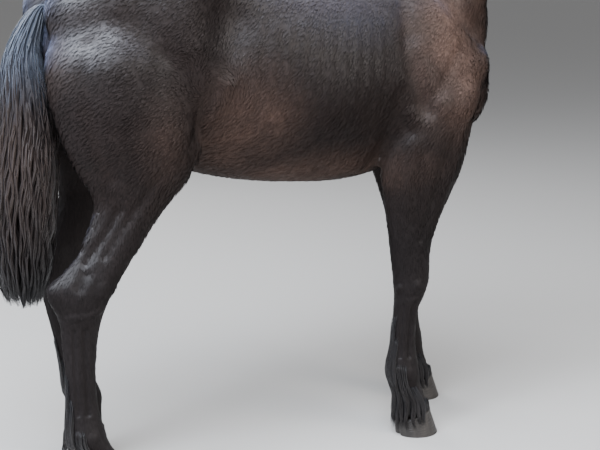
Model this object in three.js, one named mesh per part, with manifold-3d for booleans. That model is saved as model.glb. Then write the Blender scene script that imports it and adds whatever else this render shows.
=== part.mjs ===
// A young Friesian horse standing at rest, its left hind foot on its toe, life size, in
// millimetres.
// X runs from tail to head, Y to the horse's left, Z up; the soles stand on z = 0.
import * as THREE from 'three';
import Module from 'manifold-3d';

const wasm = await Module();
wasm.setup();

// Driving dimensions
const seam = 0.3; // gap between neighbouring pieces
const bodySides = 22;
const neckSides = 18;
const legSides = 14;
const headSides = 20;
const poll = new THREE.Vector3(852, 0, 1922);
const headTilt = THREE.MathUtils.degToRad(54); // face line below the horizontal
const eyeRadius = 21;
const eyeDepth = 15; // from the side of the head in to the eye's centre
const eyeSlant = 0.55; // turn of the gap between the lids, in radians
const eyeOnHead = [190, 8]; // down the face, and out from its line
const nostrilOnHead = [528, -14];
const earOnHead = [22, 22, 50];
const earLength = 150;
const foreAdvance = 190; // how far the left feet stand ahead of the right ones
const hindAdvance = 130;
const hindInward = 45; // how much nearer the middle the left hind foot stands
const hockCut = 552; // height where gaskin and hock are parted from the cannon
const kneeCut = 412; // height where the knee is parted from the fore cannon
const foreSwing = 1300; // heights from which the leading legs stand forward
const hindSwing = 850;
const foreStep = 3; // 1 for a leg that leans evenly, more for one that is upright lower down
const hindStep = 1;
const restingTilt = THREE.MathUtils.degToRad(30); // how far the resting hoof's heel is raised
const restingToe = -505; // where its toe stands
const toeFlat = 5; // height worn off under that toe

// The body is drawn as sections between an upper and a lower rail, both in the XZ plane.
// A row holds: upper x, upper z, lower x, lower z, half width, height of the widest
// place as a share of the section, squareness above it, squareness below it.
const trunkRows = [
  [-652, 1322, -676, 1215, 66, 0.5, 2.0, 2.0],
  [-628, 1380, -652, 1120, 134, 0.5, 2.0, 2.0],
  [-555, 1440, -578, 1030, 192, 0.55, 2.1, 2.0],
  [-450, 1486, -460, 960, 222, 0.6, 2.3, 2.0],
  [-330, 1502, -335, 892, 240, 0.62, 2.5, 2.0],
  [-210, 1488, -215, 852, 230, 0.55, 2.3, 2.1],
  [-80, 1462, -85, 826, 240, 0.5, 2.2, 2.2],
  [50, 1444, 50, 812, 252, 0.46, 2.1, 2.2],
  [170, 1450, 170, 806, 246, 0.46, 1.9, 2.2],
  [270, 1482, 270, 812, 227, 0.46, 1.7, 2.1],
  [350, 1500, 350, 828, 206, 0.46, 1.6, 2.1],
  [440, 1480, 440, 856, 188, 0.46, 1.7, 2.1],
  [530, 1420, 530, 896, 170, 0.46, 2.0, 2.1],
  [610, 1335, 612, 945, 148, 0.46, 2.0, 2.0],
  [672, 1245, 674, 1000, 114, 0.5, 2.0, 2.0],
  [708, 1165, 708, 1060, 62, 0.5, 2.0, 2.0],
];

const neckRows = [
  [330, 1480, 690, 1080, 148, 0.5, 1.7, 2.0],
  [415, 1556, 704, 1215, 124, 0.45, 1.6, 2.0],
  [502, 1654, 714, 1345, 100, 0.42, 1.6, 2.0],
  [592, 1753, 738, 1462, 84, 0.42, 1.6, 2.0],
  [685, 1840, 778, 1560, 76, 0.45, 1.7, 2.0],
  [770, 1900, 822, 1635, 73, 0.5, 1.8, 2.0],
  [838, 1924, 862, 1695, 70, 0.55, 2.0, 2.0],
  [885, 1912, 902, 1745, 55, 0.5, 2.0, 2.0],
];

// Head sections stand square to the face line: distance from the poll, height of the face,
// depth of the jaw, half width, place of the widest part, squareness above and below.
const headRows = [
  [-52, -30, -70, 16, 0.5, 2.0, 2.0],
  [-34, 2, -105, 46, 0.5, 2.0, 2.0],
  [0, 27, -145, 70, 0.6, 2.0, 2.0],
  [45, 41, -184, 84, 0.66, 2.0, 1.9],
  [95, 49, -206, 93, 0.7, 2.1, 1.8],
  [145, 52, -210, 99, 0.75, 2.3, 1.7],
  [192, 48, -198, 98, 0.78, 2.4, 1.7],
  [240, 41, -172, 86, 0.76, 2.3, 1.8],
  [290, 35, -142, 70, 0.7, 2.1, 1.9],
  [340, 30, -119, 58, 0.62, 2.0, 2.0],
  [390, 27, -104, 51, 0.56, 2.0, 2.0],
  [440, 25, -95, 48, 0.52, 2.1, 2.1],
  [485, 24, -97, 50, 0.54, 2.3, 2.2],
  [525, 19, -102, 53, 0.58, 2.4, 2.2],
  [553, 8, -98, 49, 0.56, 2.4, 2.2],
  [574, -12, -86, 38, 0.5, 2.2, 2.1],
  [585, -32, -68, 18, 0.5, 2.0, 2.0],
];

// Legs are drawn as level sections: height, front x, rear x, middle y, half width,
// place of the widest part from rear to front, squareness before and behind it.
const hindRows = [
  [1390, -420, -530, 105, 45, 0.5, 2.0, 2.0],
  [1315, -370, -632, 118, 80, 0.5, 2.0, 2.0],
  [1215, -325, -697, 130, 118, 0.52, 2.0, 2.0],
  [1120, -314, -700, 136, 125, 0.55, 2.0, 2.0],
  [1040, -306, -682, 141, 119, 0.56, 2.0, 2.0],
  [970, -304, -661, 146, 106, 0.58, 2.0, 2.0],
  [915, -312, -636, 150, 91, 0.6, 2.0, 1.9],
  [875, -338, -613, 154, 78, 0.6, 2.0, 1.9],
  [840, -376, -600, 158, 66, 0.6, 2.0, 1.8],
  [800, -414, -602, 162, 57, 0.6, 2.0, 1.7],
  [750, -455, -622, 166, 50, 0.62, 2.0, 1.6],
  [700, -490, -651, 170, 45, 0.64, 2.0, 1.5],
  [660, -518, -690, 173, 43, 0.66, 2.1, 1.5],
  [626, -542, -735, 175, 43, 0.66, 2.2, 1.6],
  [592, -565, -735, 176, 44, 0.64, 2.3, 1.7],
  [552, -586, -717, 177, 41, 0.6, 2.3, 1.8],
  [510, -601, -706, 178, 35, 0.55, 2.1, 1.9],
  [455, -612, -702, 179, 31, 0.52, 2.0, 2.0],
  [380, -617, -698, 180, 30, 0.5, 2.0, 2.0],
  [305, -615, -697, 180, 30, 0.5, 2.0, 2.0],
  [258, -608, -699, 181, 35, 0.5, 2.0, 2.0],
  [222, -599, -700, 182, 41, 0.5, 2.2, 2.0],
  [194, -592, -695, 182, 41, 0.5, 2.2, 2.0],
  [168, -580, -674, 183, 36, 0.5, 2.0, 2.0],
  [142, -563, -652, 183, 35, 0.5, 2.0, 2.0],
  [114, -542, -634, 184, 40, 0.5, 2.0, 2.0],
  [88, -524, -620, 184, 46, 0.5, 2.0, 2.0],
  [62, -512, -610, 184, 47, 0.5, 2.0, 2.0],
];

// The foot of a resting hind leg: the pastern stands upright over the tipped hoof.
const restingFoot = [
  [194, -595, -692, 182, 41, 0.5, 2.2, 2.0],
  [168, -600, -684, 183, 36, 0.5, 2.0, 2.0],
  [142, -606, -684, 183, 36, 0.5, 2.0, 2.0],
  [118, -610, -694, 184, 41, 0.5, 2.0, 2.0],
  [98, -616, -704, 184, 44, 0.5, 2.0, 2.0],
  [62, -632, -704, 184, 38, 0.5, 2.0, 2.0],
];

const foreRows = [
  [1200, 570, 450, 122, 50, 0.5, 2.0, 2.0],
  [1115, 625, 380, 133, 74, 0.5, 2.0, 2.0],
  [1040, 622, 322, 142, 95, 0.5, 2.0, 2.0],
  [975, 596, 300, 147, 91, 0.5, 2.0, 2.0],
  [920, 578, 288, 150, 85, 0.52, 2.0, 2.0],
  [865, 566, 283, 150, 77, 0.55, 2.0, 1.9],
  [815, 551, 287, 148, 68, 0.56, 2.0, 1.9],
  [760, 526, 296, 145, 60, 0.56, 2.0, 1.8],
  [700, 498, 308, 142, 52, 0.55, 2.0, 1.8],
  [640, 475, 319, 139, 46, 0.55, 2.0, 1.8],
  [580, 463, 328, 137, 43, 0.55, 2.1, 1.8],
  [520, 460, 339, 135, 46, 0.56, 2.3, 1.9],
  [480, 453, 345, 134, 48, 0.56, 2.4, 1.9],
  [445, 440, 349, 134, 45, 0.55, 2.3, 1.9],
  [410, 428, 347, 133, 37, 0.54, 2.1, 2.0],
  [355, 422, 344, 133, 32, 0.52, 2.0, 2.0],
  [300, 422, 341, 133, 31, 0.5, 2.0, 2.0],
  [260, 426, 336, 133, 35, 0.5, 2.0, 2.0],
  [225, 432, 331, 133, 41, 0.5, 2.2, 2.0],
  [195, 436, 335, 133, 41, 0.5, 2.2, 2.0],
  [165, 442, 348, 133, 36, 0.5, 2.0, 2.0],
  [135, 451, 358, 133, 36, 0.5, 2.0, 2.0],
  [105, 461, 368, 133, 42, 0.5, 2.0, 2.0],
  [78, 468, 374, 133, 47, 0.5, 2.0, 2.0],
  [52, 472, 378, 133, 47, 0.5, 2.0, 2.0],
];

const hoofs = {
  fore: { toe: 502, heel: 368, crownFront: 471, crownRear: 362, y: 133, halfWidth: 66 },
  hind: { toe: -476, heel: -606, crownFront: -514, crownRear: -620, y: 184, halfWidth: 62 },
};
// The coronet stands out of the wall at the height of its band, a share of the hoof's height.
const hoofSize = { frontHeight: 88, rearHeight: 48, crownHalfWidth: 52, sides: 16, band: 0.9, bulge: 2 };

// Muscles stand out of a side and hollows sink into it. Each line holds: place along,
// place up, reach along its own direction, reach across it, that direction in degrees, height.
// On the body the places are X and Z; on the head they run along the face and out of it.
const trunkRelief = [
  [455, 1275, 210, 95, -55, 24],
  [610, 1120, 80, 80, 0, 26],
  [430, 1050, 130, 95, 20, 34],
  [245, 975, 70, 90, 60, -8],
  [-225, 1290, 70, 110, 80, -16],
  [-312, 1405, 48, 48, 0, 14],
  [-440, 1250, 150, 130, 70, 10],
  [40, 1060, 240, 120, 0, 6],
];

const neckRelief = [
  [620, 1560, 190, 55, 50, 8],
  [560, 1420, 120, 60, 60, -7],
];

const headRelief = [
  [125, -105, 62, 70, 20, 9],
  [270, -48, 85, 13, -9, 8],
  [185, 34, 60, 20, -6, 12],
  [196, -22, 66, 18, -8, 7],
  [205, -130, 60, 22, 35, 4],
  [350, -10, 60, 30, 0, -4],
  [512, -18, 30, 26, 0, 6],
  [560, -34, 26, 14, 0, 4],
  [545, -74, 34, 14, 0, 4],
];

// A smooth curve through table rows: place 2.5 lies half way between rows 2 and 3.
function between(rows, place) {
  const i = Math.min(Math.floor(place), rows.length - 2);
  const t = place - i;
  const pick = (k) => rows[Math.min(Math.max(k, 0), rows.length - 1)];
  const [a, b, c, d] = [pick(i - 1), pick(i), pick(i + 1), pick(i + 2)];
  return b.map((_, n) => {
    const near = 0.5 * (c[n] - a[n]);
    const far = 0.5 * (d[n] - b[n]);
    const step = c[n] - b[n];
    return b[n] + t * near + t * t * (3 * step - 2 * near - far) + t * t * t * (near + far - 2 * step);
  });
}

// Moves a point outwards by the muscles near it, fully on the flank and not at all on the edge.
function raise(point, relief, share, measure) {
  const [placeAlong, placeUp] = measure(point);
  let lift = 0;
  for (const [along, up, reachAlong, reachAcross, angle, height] of relief) {
    const turn = THREE.MathUtils.degToRad(angle);
    const a = placeAlong - along;
    const b = placeUp - up;
    const u = (a * Math.cos(turn) + b * Math.sin(turn)) / reachAlong;
    const v = (b * Math.cos(turn) - a * Math.sin(turn)) / reachAcross;
    lift += height * Math.exp(-u * u - v * v);
  }
  point.y += Math.sign(share) * Math.abs(share) ** 0.7 * lift;
}

const onBody = (point) => [point.x, point.z];

// One point of a section, at an angle from its upper edge towards +Y, grown outwards by extra.
function outline(shape, angle, extra, relief = [], measure = onBody) {
  const { high, low, y, halfWidth, widest, squareHigh, squareLow } = shape;
  const up = high.clone().sub(low);
  const depth = up.length();
  up.normalize();
  const c = Math.cos(angle);
  const n = Math.sin(angle);
  const square = 2 / (c > 0 ? squareHigh : squareLow);
  const reach = (c > 0 ? depth * (1 - widest) : depth * widest) + extra;
  const lift = depth * widest + Math.sign(c) * reach * Math.abs(c) ** square;
  const point = low.clone().addScaledVector(up, lift);
  point.y = y + Math.sign(n) * (halfWidth + extra) * Math.abs(n) ** square;
  raise(point, relief, n, measure);
  return point;
}

const flat = (x, z) => new THREE.Vector3(x, 0, z);

function railRow([highX, highZ, lowX, lowZ, halfWidth, widest, squareHigh, squareLow]) {
  const form = { halfWidth, widest, squareHigh, squareLow };
  return { high: flat(highX, highZ), low: flat(lowX, lowZ), y: 0, ...form };
}

const faceAlong = new THREE.Vector3(Math.cos(headTilt), 0, -Math.sin(headTilt));
const faceOut = new THREE.Vector3(Math.sin(headTilt), 0, Math.cos(headTilt));

// A place on or in the head: distance along the face, height above the face line, Y.
function headPlace(along, out, y = 0) {
  return poll.clone().addScaledVector(faceAlong, along).addScaledVector(faceOut, out).setY(y);
}

function onHead(point) {
  const fromPoll = point.clone().sub(poll);
  return [fromPoll.dot(faceAlong), fromPoll.dot(faceOut)];
}

// The row of the head at a distance from the poll.
function headRowAt(along) {
  const before = headRows.findLastIndex(([place]) => place <= along);
  const span = headRows[before + 1][0] - headRows[before][0];
  return between(headRows, before + (along - headRows[before][0]) / span);
}

function headRow([along, face, jaw, halfWidth, widest, squareHigh, squareLow]) {
  const form = { halfWidth, widest, squareHigh, squareLow };
  return { high: headPlace(along, face), low: headPlace(along, jaw), y: 0, ...form };
}

// The left feet stand ahead, so their legs come forward from the swing height down.
function legRow(kind, side) {
  const { advance, inward, swing, step } = stance[kind];
  return ([z, front, rear, y, halfWidth, widest, squareHigh, squareLow]) => {
    const share = side > 0 ? 1 - THREE.MathUtils.clamp(z / swing, 0, 1) ** step : 0;
    return {
      high: flat(front + advance * share, z),
      low: flat(rear + advance * share, z),
      y: side * (y - inward * share),
      halfWidth,
      widest,
      squareHigh,
      squareLow,
    };
  };
}

function middleOf(ring) {
  return ring.reduce((sum, p) => sum.add(p), new THREE.Vector3()).divideScalar(ring.length);
}

// Faces between neighbouring rings, each quad split along the diagonal that lies further out.
// A loop also joins the last ring to the first.
function ringFaces(rings, loop) {
  const faces = [];
  const sides = rings[0].length;
  for (let r = 0; r < (loop ? rings.length : rings.length - 1); r += 1) {
    const after = (r + 1) % rings.length;
    const middle = middleOf([middleOf(rings[r]), middleOf(rings[after])]);
    for (let s = 0; s < sides; s += 1) {
      const next = (s + 1) % sides;
      const [a, b, c, d] = [r * sides + s, r * sides + next, after * sides + next, after * sides + s];
      const one = middleOf([rings[r][s], rings[after][next]]).distanceTo(middle);
      const other = middleOf([rings[r][next], rings[after][s]]).distanceTo(middle);
      faces.push(...(one >= other ? [[a, b, c], [a, c, d]] : [[a, b, d], [b, c, d]]));
    }
  }
  return faces;
}

function solidFromLoop(rings) {
  return solid(rings.flat(), ringFaces(rings, true));
}

// Closed solid from rings of equal count, each end closed by a fan about its middle.
function solidFromRings(rings) {
  const sides = rings[0].length;
  const points = rings.flat();
  const faces = ringFaces(rings, false);
  const firstMiddle = points.push(middleOf(rings[0])) - 1;
  const lastMiddle = points.push(middleOf(rings[rings.length - 1])) - 1;
  const lastStart = (rings.length - 1) * sides;
  for (let s = 0; s < sides; s += 1) {
    const next = (s + 1) % sides;
    faces.push([firstMiddle, next, s], [lastMiddle, lastStart + s, lastStart + next]);
  }
  return solid(points, faces);
}

function solid(points, faces) {
  let volume = 0;
  for (const [a, b, c] of faces) {
    volume += points[a].dot(new THREE.Vector3().crossVectors(points[b], points[c]));
  }
  const ordered = volume < 0 ? faces.map(([a, b, c]) => [a, c, b]) : faces;
  const mesh = new wasm.Mesh({
    numProp: 3,
    vertProperties: new Float32Array(points.flatMap((p) => p.toArray())),
    triVerts: new Uint32Array(ordered.flat()),
  });
  return new wasm.Manifold(mesh);
}

function ringOf(count, pointAt) {
  return Array.from({ length: count }, (_, s) => pointAt((2 * Math.PI * s) / count));
}

function loft(rows, toSection, { sides, steps, extra = 0, relief, measure }) {
  const rings = [];
  const count = (rows.length - 1) * steps;
  for (let i = 0; i <= count; i += 1) {
    const shape = toSection(between(rows, i / steps));
    rings.push(ringOf(sides, (angle) => outline(shape, angle, extra, relief, measure)));
  }
  return solidFromRings(rings);
}

// A ball stretched to radii along X, Y and Z, turned about Y and then about Z.
function ball(centre, radii, { turnY = 0, turnZ = 0, round = 16, rise = 10 } = {}) {
  const matrix = new THREE.Matrix4().makeRotationZ(turnZ)
    .multiply(new THREE.Matrix4().makeRotationY(turnY))
    .scale(new THREE.Vector3(...radii));
  const rings = [];
  for (let r = 1; r < rise; r += 1) {
    const lift = (Math.PI * r) / rise;
    rings.push(ringOf(round, (angle) => new THREE.Vector3(
      Math.sin(lift) * Math.cos(angle),
      Math.sin(lift) * Math.sin(angle),
      Math.cos(lift),
    ).applyMatrix4(matrix).add(centre)));
  }
  return solidFromRings(rings);
}

// The largest closed body of a solid.
function largest(body) {
  const pieces = body.decompose();
  return pieces.reduce((best, piece) => (piece.volume() > best.volume() ? piece : best));
}

const join = (...bodies) => bodies.reduce((sum, body) => sum.add(body));

// A wide level slab, for parting a limb at a height.
function slab(low, high) {
  const ring = (z) => [[-2000, -900], [2000, -900], [2000, 900], [-2000, 900]]
    .map(([x, y]) => new THREE.Vector3(x, y, z));
  return solidFromRings([ring(low), ring(high)]);
}

const above = (z) => slab(z, 2600);
const below = (z) => slab(-200, z);

// The two muscles of the breast, one each side: place, half sizes, lean.
const breast = { x: 648, y: 62, z: 1075, radii: [66, 66, 105], lean: 0.2 };

function trunk(extra) {
  const { x, y, z, radii, lean } = breast;
  const muscles = [1, -1].map((side) => (
    ball(new THREE.Vector3(x, side * y, z), radii.map((r) => r + extra), { turnY: lean })));
  const how = { sides: bodySides, steps: 2, extra, relief: trunkRelief };
  return join(loft(trunkRows, railRow, how), ...muscles);
}

function neck(extra) {
  return loft(neckRows, railRow, { sides: neckSides, steps: 2, extra, relief: neckRelief });
}

function head(extra) {
  const how = { sides: headSides, steps: 1, extra, relief: headRelief, measure: onHead };
  return loft(headRows, headRow, how);
}

const stance = {
  fore: { rows: foreRows, advance: foreAdvance, inward: 0, swing: foreSwing, step: foreStep },
  hind: { rows: hindRows, advance: hindAdvance, inward: hindInward, swing: hindSwing, step: hindStep },
};

const resting = (kind, side) => kind === 'hind' && side > 0;

function rowsOf(kind, side) {
  const { rows } = stance[kind];
  return resting(kind, side) ? [...rows.filter(([z]) => z > restingFoot[0][0]), ...restingFoot] : rows;
}

function leg(kind, side, extra) {
  return loft(rowsOf(kind, side), legRow(kind, side), { sides: legSides, steps: 1, extra });
}

// A place on a leg at a height, at an angle from its front towards +Y, grown out by extra.
function legPlace(kind, side, height, angle, extra) {
  const rows = rowsOf(kind, side);
  const lower = rows.findIndex(([z]) => z <= height);
  const share = (rows[lower - 1][0] - height) / (rows[lower - 1][0] - rows[lower][0]);
  const row = rows[lower].map((value, n) => THREE.MathUtils.lerp(rows[lower - 1][n], value, share));
  return outline(legRow(kind, side)(row), angle, extra);
}

// A point of the resting hoof, turned about its toe so that the heel rises.
function tipped(point) {
  const [x, c, s] = [point.x - hoofs.hind.toe - hindAdvance, Math.cos(restingTilt), Math.sin(restingTilt)];
  return new THREE.Vector3(restingToe + x * c + point.z * s, point.y, point.z * c - x * s - toeFlat);
}

// One point of a hoof's wall, lift running from the sole to the crown, which falls to the heel.
function hoofPlace(kind, side, lift, angle, extra) {
  const { toe, heel, crownFront, crownRear, halfWidth } = hoofs[kind];
  const { frontHeight, rearHeight, crownHalfWidth } = hoofSize;
  const { advance, inward } = stance[kind];
  const share = (Math.cos(angle) + 1) / 2;
  const front = THREE.MathUtils.lerp(toe, crownFront, lift) + extra;
  const rear = THREE.MathUtils.lerp(heel, crownRear, lift) - extra;
  const wide = THREE.MathUtils.lerp(halfWidth, crownHalfWidth, lift) + extra;
  const centre = side > 0 ? hoofs[kind].y - inward : -hoofs[kind].y;
  const point = new THREE.Vector3(
    THREE.MathUtils.lerp(rear, front, share) + (side > 0 ? advance : 0),
    centre + Math.sin(angle) * wide * (0.9 + 0.1 * share),
    lift * THREE.MathUtils.lerp(rearHeight, frontHeight, share),
  );
  return resting(kind, side) ? tipped(point) : point;
}

function hoof(kind, side, extra) {
  const { sides, band, bulge } = hoofSize;
  const rings = [0, band, 1].map((lift) => ringOf(sides, (angle) => {
    const point = hoofPlace(kind, side, lift, angle, extra + (lift === band ? bulge : 0));
    point.z += lift === 1 ? extra : 0;
    return point;
  }));
  const whole = solidFromRings(rings);
  return resting(kind, side) ? whole.subtract(below(0)) : whole;
}

// How far bodies reach from the middle plane at a place in the XZ plane; 0 beside them.
function sideReach(bodies) {
  const triangles = [];
  for (const body of bodies) {
    const { vertProperties, triVerts } = body.getMesh();
    for (let t = 0; t < triVerts.length; t += 3) {
      const corners = [0, 1, 2].map((k) => 3 * triVerts[t + k]);
      const triangle = corners.map((first) => Array.from(vertProperties.slice(first, first + 3)));
      if (triangle.every(([, y]) => y >= 0)) triangles.push(triangle);
    }
  }
  return (x, z) => {
    let reach = 0;
    for (const [a, b, c] of triangles) {
      const area = (b[0] - a[0]) * (c[2] - a[2]) - (c[0] - a[0]) * (b[2] - a[2]);
      if (Math.abs(area) < 1e-9) continue;
      const u = ((x - a[0]) * (c[2] - a[2]) - (c[0] - a[0]) * (z - a[2])) / area;
      const v = ((b[0] - a[0]) * (z - a[2]) - (x - a[0]) * (b[2] - a[2])) / area;
      if (u < 0 || v < 0 || u + v > 1) continue;
      reach = Math.max(reach, a[1] + u * (b[1] - a[1]) + v * (c[1] - a[1]));
    }
    return reach;
  };
}

// A closed round rim round an oval opening, bent over a ball: length and width of the oval as
// half sizes, its long way and its short way, the way it faces, the radius of the ball. Root is
// how deep it reaches into the head.
function rim(centre, { long, short, facing, halfLong, halfShort, radius, tube, root, count }) {
  const at = (k) => {
    const u = halfLong * Math.cos((2 * Math.PI * k) / count);
    const v = halfShort * Math.sin((2 * Math.PI * k) / count);
    return centre.clone().addScaledVector(long, u).addScaledVector(short, v)
      .addScaledVector(facing, Math.sqrt(radius * radius - u * u - v * v));
  };
  const corners = [];
  for (let k = 0; k < count; k += 1) {
    const along = at(k + 1).sub(at(k - 1)).normalize();
    const out = new THREE.Vector3().crossVectors(along, facing).normalize();
    corners.push([[tube, 0], [0, tube], [-tube, 0], [0, -root]].map(([a, b]) => (
      at(k).addScaledVector(out, a).addScaledVector(facing, b))));
  }
  return solidFromLoop(corners);
}

const headReach = sideReach([head(0)]);
const eyeAcross = (side) => new THREE.Vector3(0.36, side * 0.92, 0.08).normalize();

function eyeLong(side) {
  return new THREE.Vector3(Math.cos(eyeSlant), -side * 0.2, -Math.sin(eyeSlant)).normalize();
}

function eyePlace(side) {
  const place = headPlace(...eyeOnHead);
  return place.setY(side * (headReach(place.x, place.z) - eyeDepth));
}

function eye(side, extra) {
  const r = eyeRadius + extra;
  return ball(eyePlace(side), [r, r, r], { round: 10, rise: 7 });
}

const lidSize = { halfLong: 19.5, halfShort: 12, radius: eyeRadius + 3, tube: 3.4, root: 12, count: 10 };
const lidGap = [17.5, 16, 9.5];

// The lids: a rim round the almond-shaped gap through which the eye shows.
function lids(side) {
  const facing = eyeAcross(side);
  const short = new THREE.Vector3().crossVectors(facing, eyeLong(side)).normalize();
  const long = new THREE.Vector3().crossVectors(short, facing).normalize();
  return rim(eyePlace(side), { long, short, facing, ...lidSize });
}

function lidOpening(side) {
  const centre = eyePlace(side).addScaledVector(eyeAcross(side), eyeRadius);
  return ball(centre, lidGap, { turnY: eyeSlant, turnZ: -side * 0.2, round: 12, rise: 6 });
}

// Ears: curved cones that lean outwards and turn in at the tip, hollowed from the front.
const earShape = [
  [-0.12, 15, 15], [0, 21, 19], [0.2, 28, 20], [0.42, 31, 17], [0.65, 25, 13], [0.84, 14, 8], [1, 2, 2],
];

const earTurn = 14; // how far the tip turns in
const earWall = 4;
const earCup = 9; // how far forward of the ear's middle its hollow is cut

function ear(side, extra) {
  const [down, out, beside] = earOnHead;
  const root = headPlace(down, out, side * beside);
  const along = new THREE.Vector3(0.12, side * 0.2, 1).normalize();
  const across = new THREE.Vector3(0.45, side * 0.9, 0).normalize();
  const facing = new THREE.Vector3().crossVectors(along, across).multiplyScalar(-side).normalize();
  const rings = (grow, shift) => earShape.map(([share, wide, deep]) => {
    const centre = root.clone().addScaledVector(along, share * earLength).addScaledVector(facing, shift);
    centre.y -= earTurn * side * share * share;
    return ringOf(12, (angle) => centre.clone()
      .addScaledVector(across, Math.cos(angle) * Math.max(wide + grow, 0.6))
      .addScaledVector(facing, Math.sin(angle) * Math.max(deep + grow, 0.6)));
  });
  const outer = solidFromRings(rings(extra, 0));
  if (extra > 0) return outer;
  return largest(outer.subtract(solidFromRings(rings(-earWall, earCup).slice(1))));
}

// Nostril: a slanted oval hollow in each side of the muzzle, in a raised rim.
const nostrilSlant = headTilt + 0.3;
const nostrilSize = { hollow: [19, 20, 7.5], sunk: 3 };
const nostrilLip = { halfLong: 20, halfShort: 9, radius: 64, tube: 4.5, root: 9, count: 8 };

function nostrilPlace(side) {
  const place = headPlace(...nostrilOnHead);
  return place.setY(side * (headReach(place.x, place.z) - nostrilSize.sunk));
}

function nostril(side) {
  const turns = { turnY: nostrilSlant, turnZ: side * 0.5 };
  return ball(nostrilPlace(side), nostrilSize.hollow, { ...turns, round: 10, rise: 5 });
}

function nostrilRim(side) {
  const facing = new THREE.Vector3(0.45, side * 0.85, -0.1).normalize();
  const slant = new THREE.Vector3(Math.cos(nostrilSlant), -side * 0.3, -Math.sin(nostrilSlant));
  const short = new THREE.Vector3().crossVectors(facing, slant).normalize();
  const long = new THREE.Vector3().crossVectors(short, facing).normalize();
  const centre = nostrilPlace(side).addScaledVector(facing, 2 - nostrilLip.radius);
  return rim(centre, { long, short, facing, ...nostrilLip });
}

// The line of the mouth: a shallow groove from corner to corner round the front of the lips.
const mouthLine = [[462, -44], [498, -50], [532, -51], [560, -49], [580, -45]];
const mouthFront = [587, -43];
const mouthSection = [[9, 0], [0, 2.6], [-6, 0], [0, -2.6]]; // outwards and up

function mouthGroove() {
  const side = mouthLine.map(([along, out]) => {
    const shape = headRow(headRowAt(along));
    const angles = Array.from({ length: 60 }, (_, k) => Math.PI * (0.35 + 0.005 * k));
    const miss = (angle) => Math.abs(onHead(outline(shape, angle, 0, headRelief, onHead))[1] - out);
    const best = angles.reduce((a, b) => (miss(b) < miss(a) ? b : a));
    return outline(shape, best, 0, headRelief, onHead);
  });
  const front = headPlace(...mouthFront);
  const path = [...side.map((p) => p.clone().setY(-p.y)), front, ...side.reverse()];
  const rings = path.map((point, i) => {
    const along = path[Math.min(i + 1, path.length - 1)].clone().sub(path[Math.max(i - 1, 0)]).normalize();
    const out = new THREE.Vector3().crossVectors(along, faceOut).normalize();
    const end = i === 0 || i === path.length - 1 ? 0.25 : 1;
    return mouthSection.map(([a, b]) => (
      point.clone().addScaledVector(out, a * end).addScaledVector(faceOut, b * end)));
  });
  return solidFromRings(rings);
}

// Seeded, so every build draws the same hair.
function randomFrom(seed) {
  let state = seed;
  return () => {
    state = (state * 1664525 + 1013904223) % 4294967296;
    return state / 4294967296;
  };
}

// A lock of hair: a flat ribbon along a path, narrow at the root, wide below it and thin at
// the tip. Across gives the way that its width runs at each share of its length.
const lockShape = [[0.2, 0.95], [0.45, 1], [0.7, 0.8], [0.9, 0.45], [1, 0.08]];

function lock(points, across, { width, thick, rings, root = 0.55 }) {
  const path = new THREE.CatmullRomCurve3(points);
  const shape = [[0, root], ...lockShape];
  const all = [];
  for (let i = 0; i < rings; i += 1) {
    const t = i / (rings - 1);
    const k = Math.max(1, shape.findIndex(([place]) => place >= t));
    const [[before, wideBefore], [after, wideAfter]] = [shape[k - 1], shape[k]];
    const w = (width / 2) * THREE.MathUtils.lerp(wideBefore, wideAfter, (t - before) / (after - before));
    const h = Math.max((thick / 2) * (1 - 0.75 * t), 0.6);
    const centre = path.getPoint(t);
    const along = path.getTangent(t);
    const out = new THREE.Vector3().crossVectors(across(t), along).normalize();
    const side = new THREE.Vector3().crossVectors(along, out);
    all.push([[w, 0], [0, h], [-w, 0], [0, -h]].map(([a, b]) => (
      centre.clone().addScaledVector(side, a).addScaledVector(out, b))));
  }
  return solidFromRings(all);
}

// Mane: locks from the crest down each side, longest on the left. Each lock leans on the one
// before it, its front edge outermost. Each layer holds: side, count, width, share of the
// full length, distance from the neck.
const maneLayers = [
  { side: 1, count: 12, width: 57, length: 1, lift: 13, seed: 23 },
  { side: -1, count: 10, width: 57, length: 0.9, lift: 13, seed: 37 },
];
const maneFrom = 0.75; // rows of the neck between which the mane grows
const maneTo = 6.3;
const fullMane = 430;
const rightManeEnd = 1352; // the locks on the right stop above this height
const shingle = 0.24; // lean of a lock's width out of the lie, as a slope

function maneLocks() {
  const reach = sideReach([neck(0), trunk(0)]);
  const locks = [];
  for (const { side, count, width, length, lift, seed } of maneLayers) {
    const random = randomFrom(seed);
    for (let i = 0; i < count; i += 1) {
      const share = (i + 0.5 + 0.3 * (random() - 0.5)) / count;
      const place = THREE.MathUtils.lerp(maneFrom, maneTo, share);
      const shape = railRow(between(neckRows, place));
      const crest = railRow(between(neckRows, place + 0.1)).high.sub(shape.high).normalize();
      const up = shape.high.clone().sub(shape.low).normalize();
      const grown = fullMane * length * (0.85 + 0.3 * random()) * (0.7 + 0.3 * Math.sin(Math.PI * share));
      const drop = side > 0 ? grown : Math.min(grown, shape.high.z - rightManeEnd - 30 * random());
      const drift = -0.4 * share;
      const bend = 8 * (random() - 0.5);
      const points = [
        shape.high.clone().addScaledVector(up, -13).setY(side * -9),
        shape.high.clone().addScaledVector(up, -1).setY(side * 9),
      ];
      for (const fall of [0.13, 0.4, 0.7, 1]) {
        const x = shape.high.x + drift * fall * drop + bend * Math.sin(7 * fall);
        const z = shape.high.z - fall * drop;
        points.push(new THREE.Vector3(x, side * (reach(x, z) + lift + 5 * fall), z));
      }
      const level = new THREE.Vector3(1, side * shingle, 0);
      const across = (t) => crest.clone().lerp(level, Math.min(1, 2.5 * t)).multiplyScalar(side);
      locks.push(lock(points, across, { width, thick: 10, rings: 6, root: 1 }));
    }
  }
  return locks;
}

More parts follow.
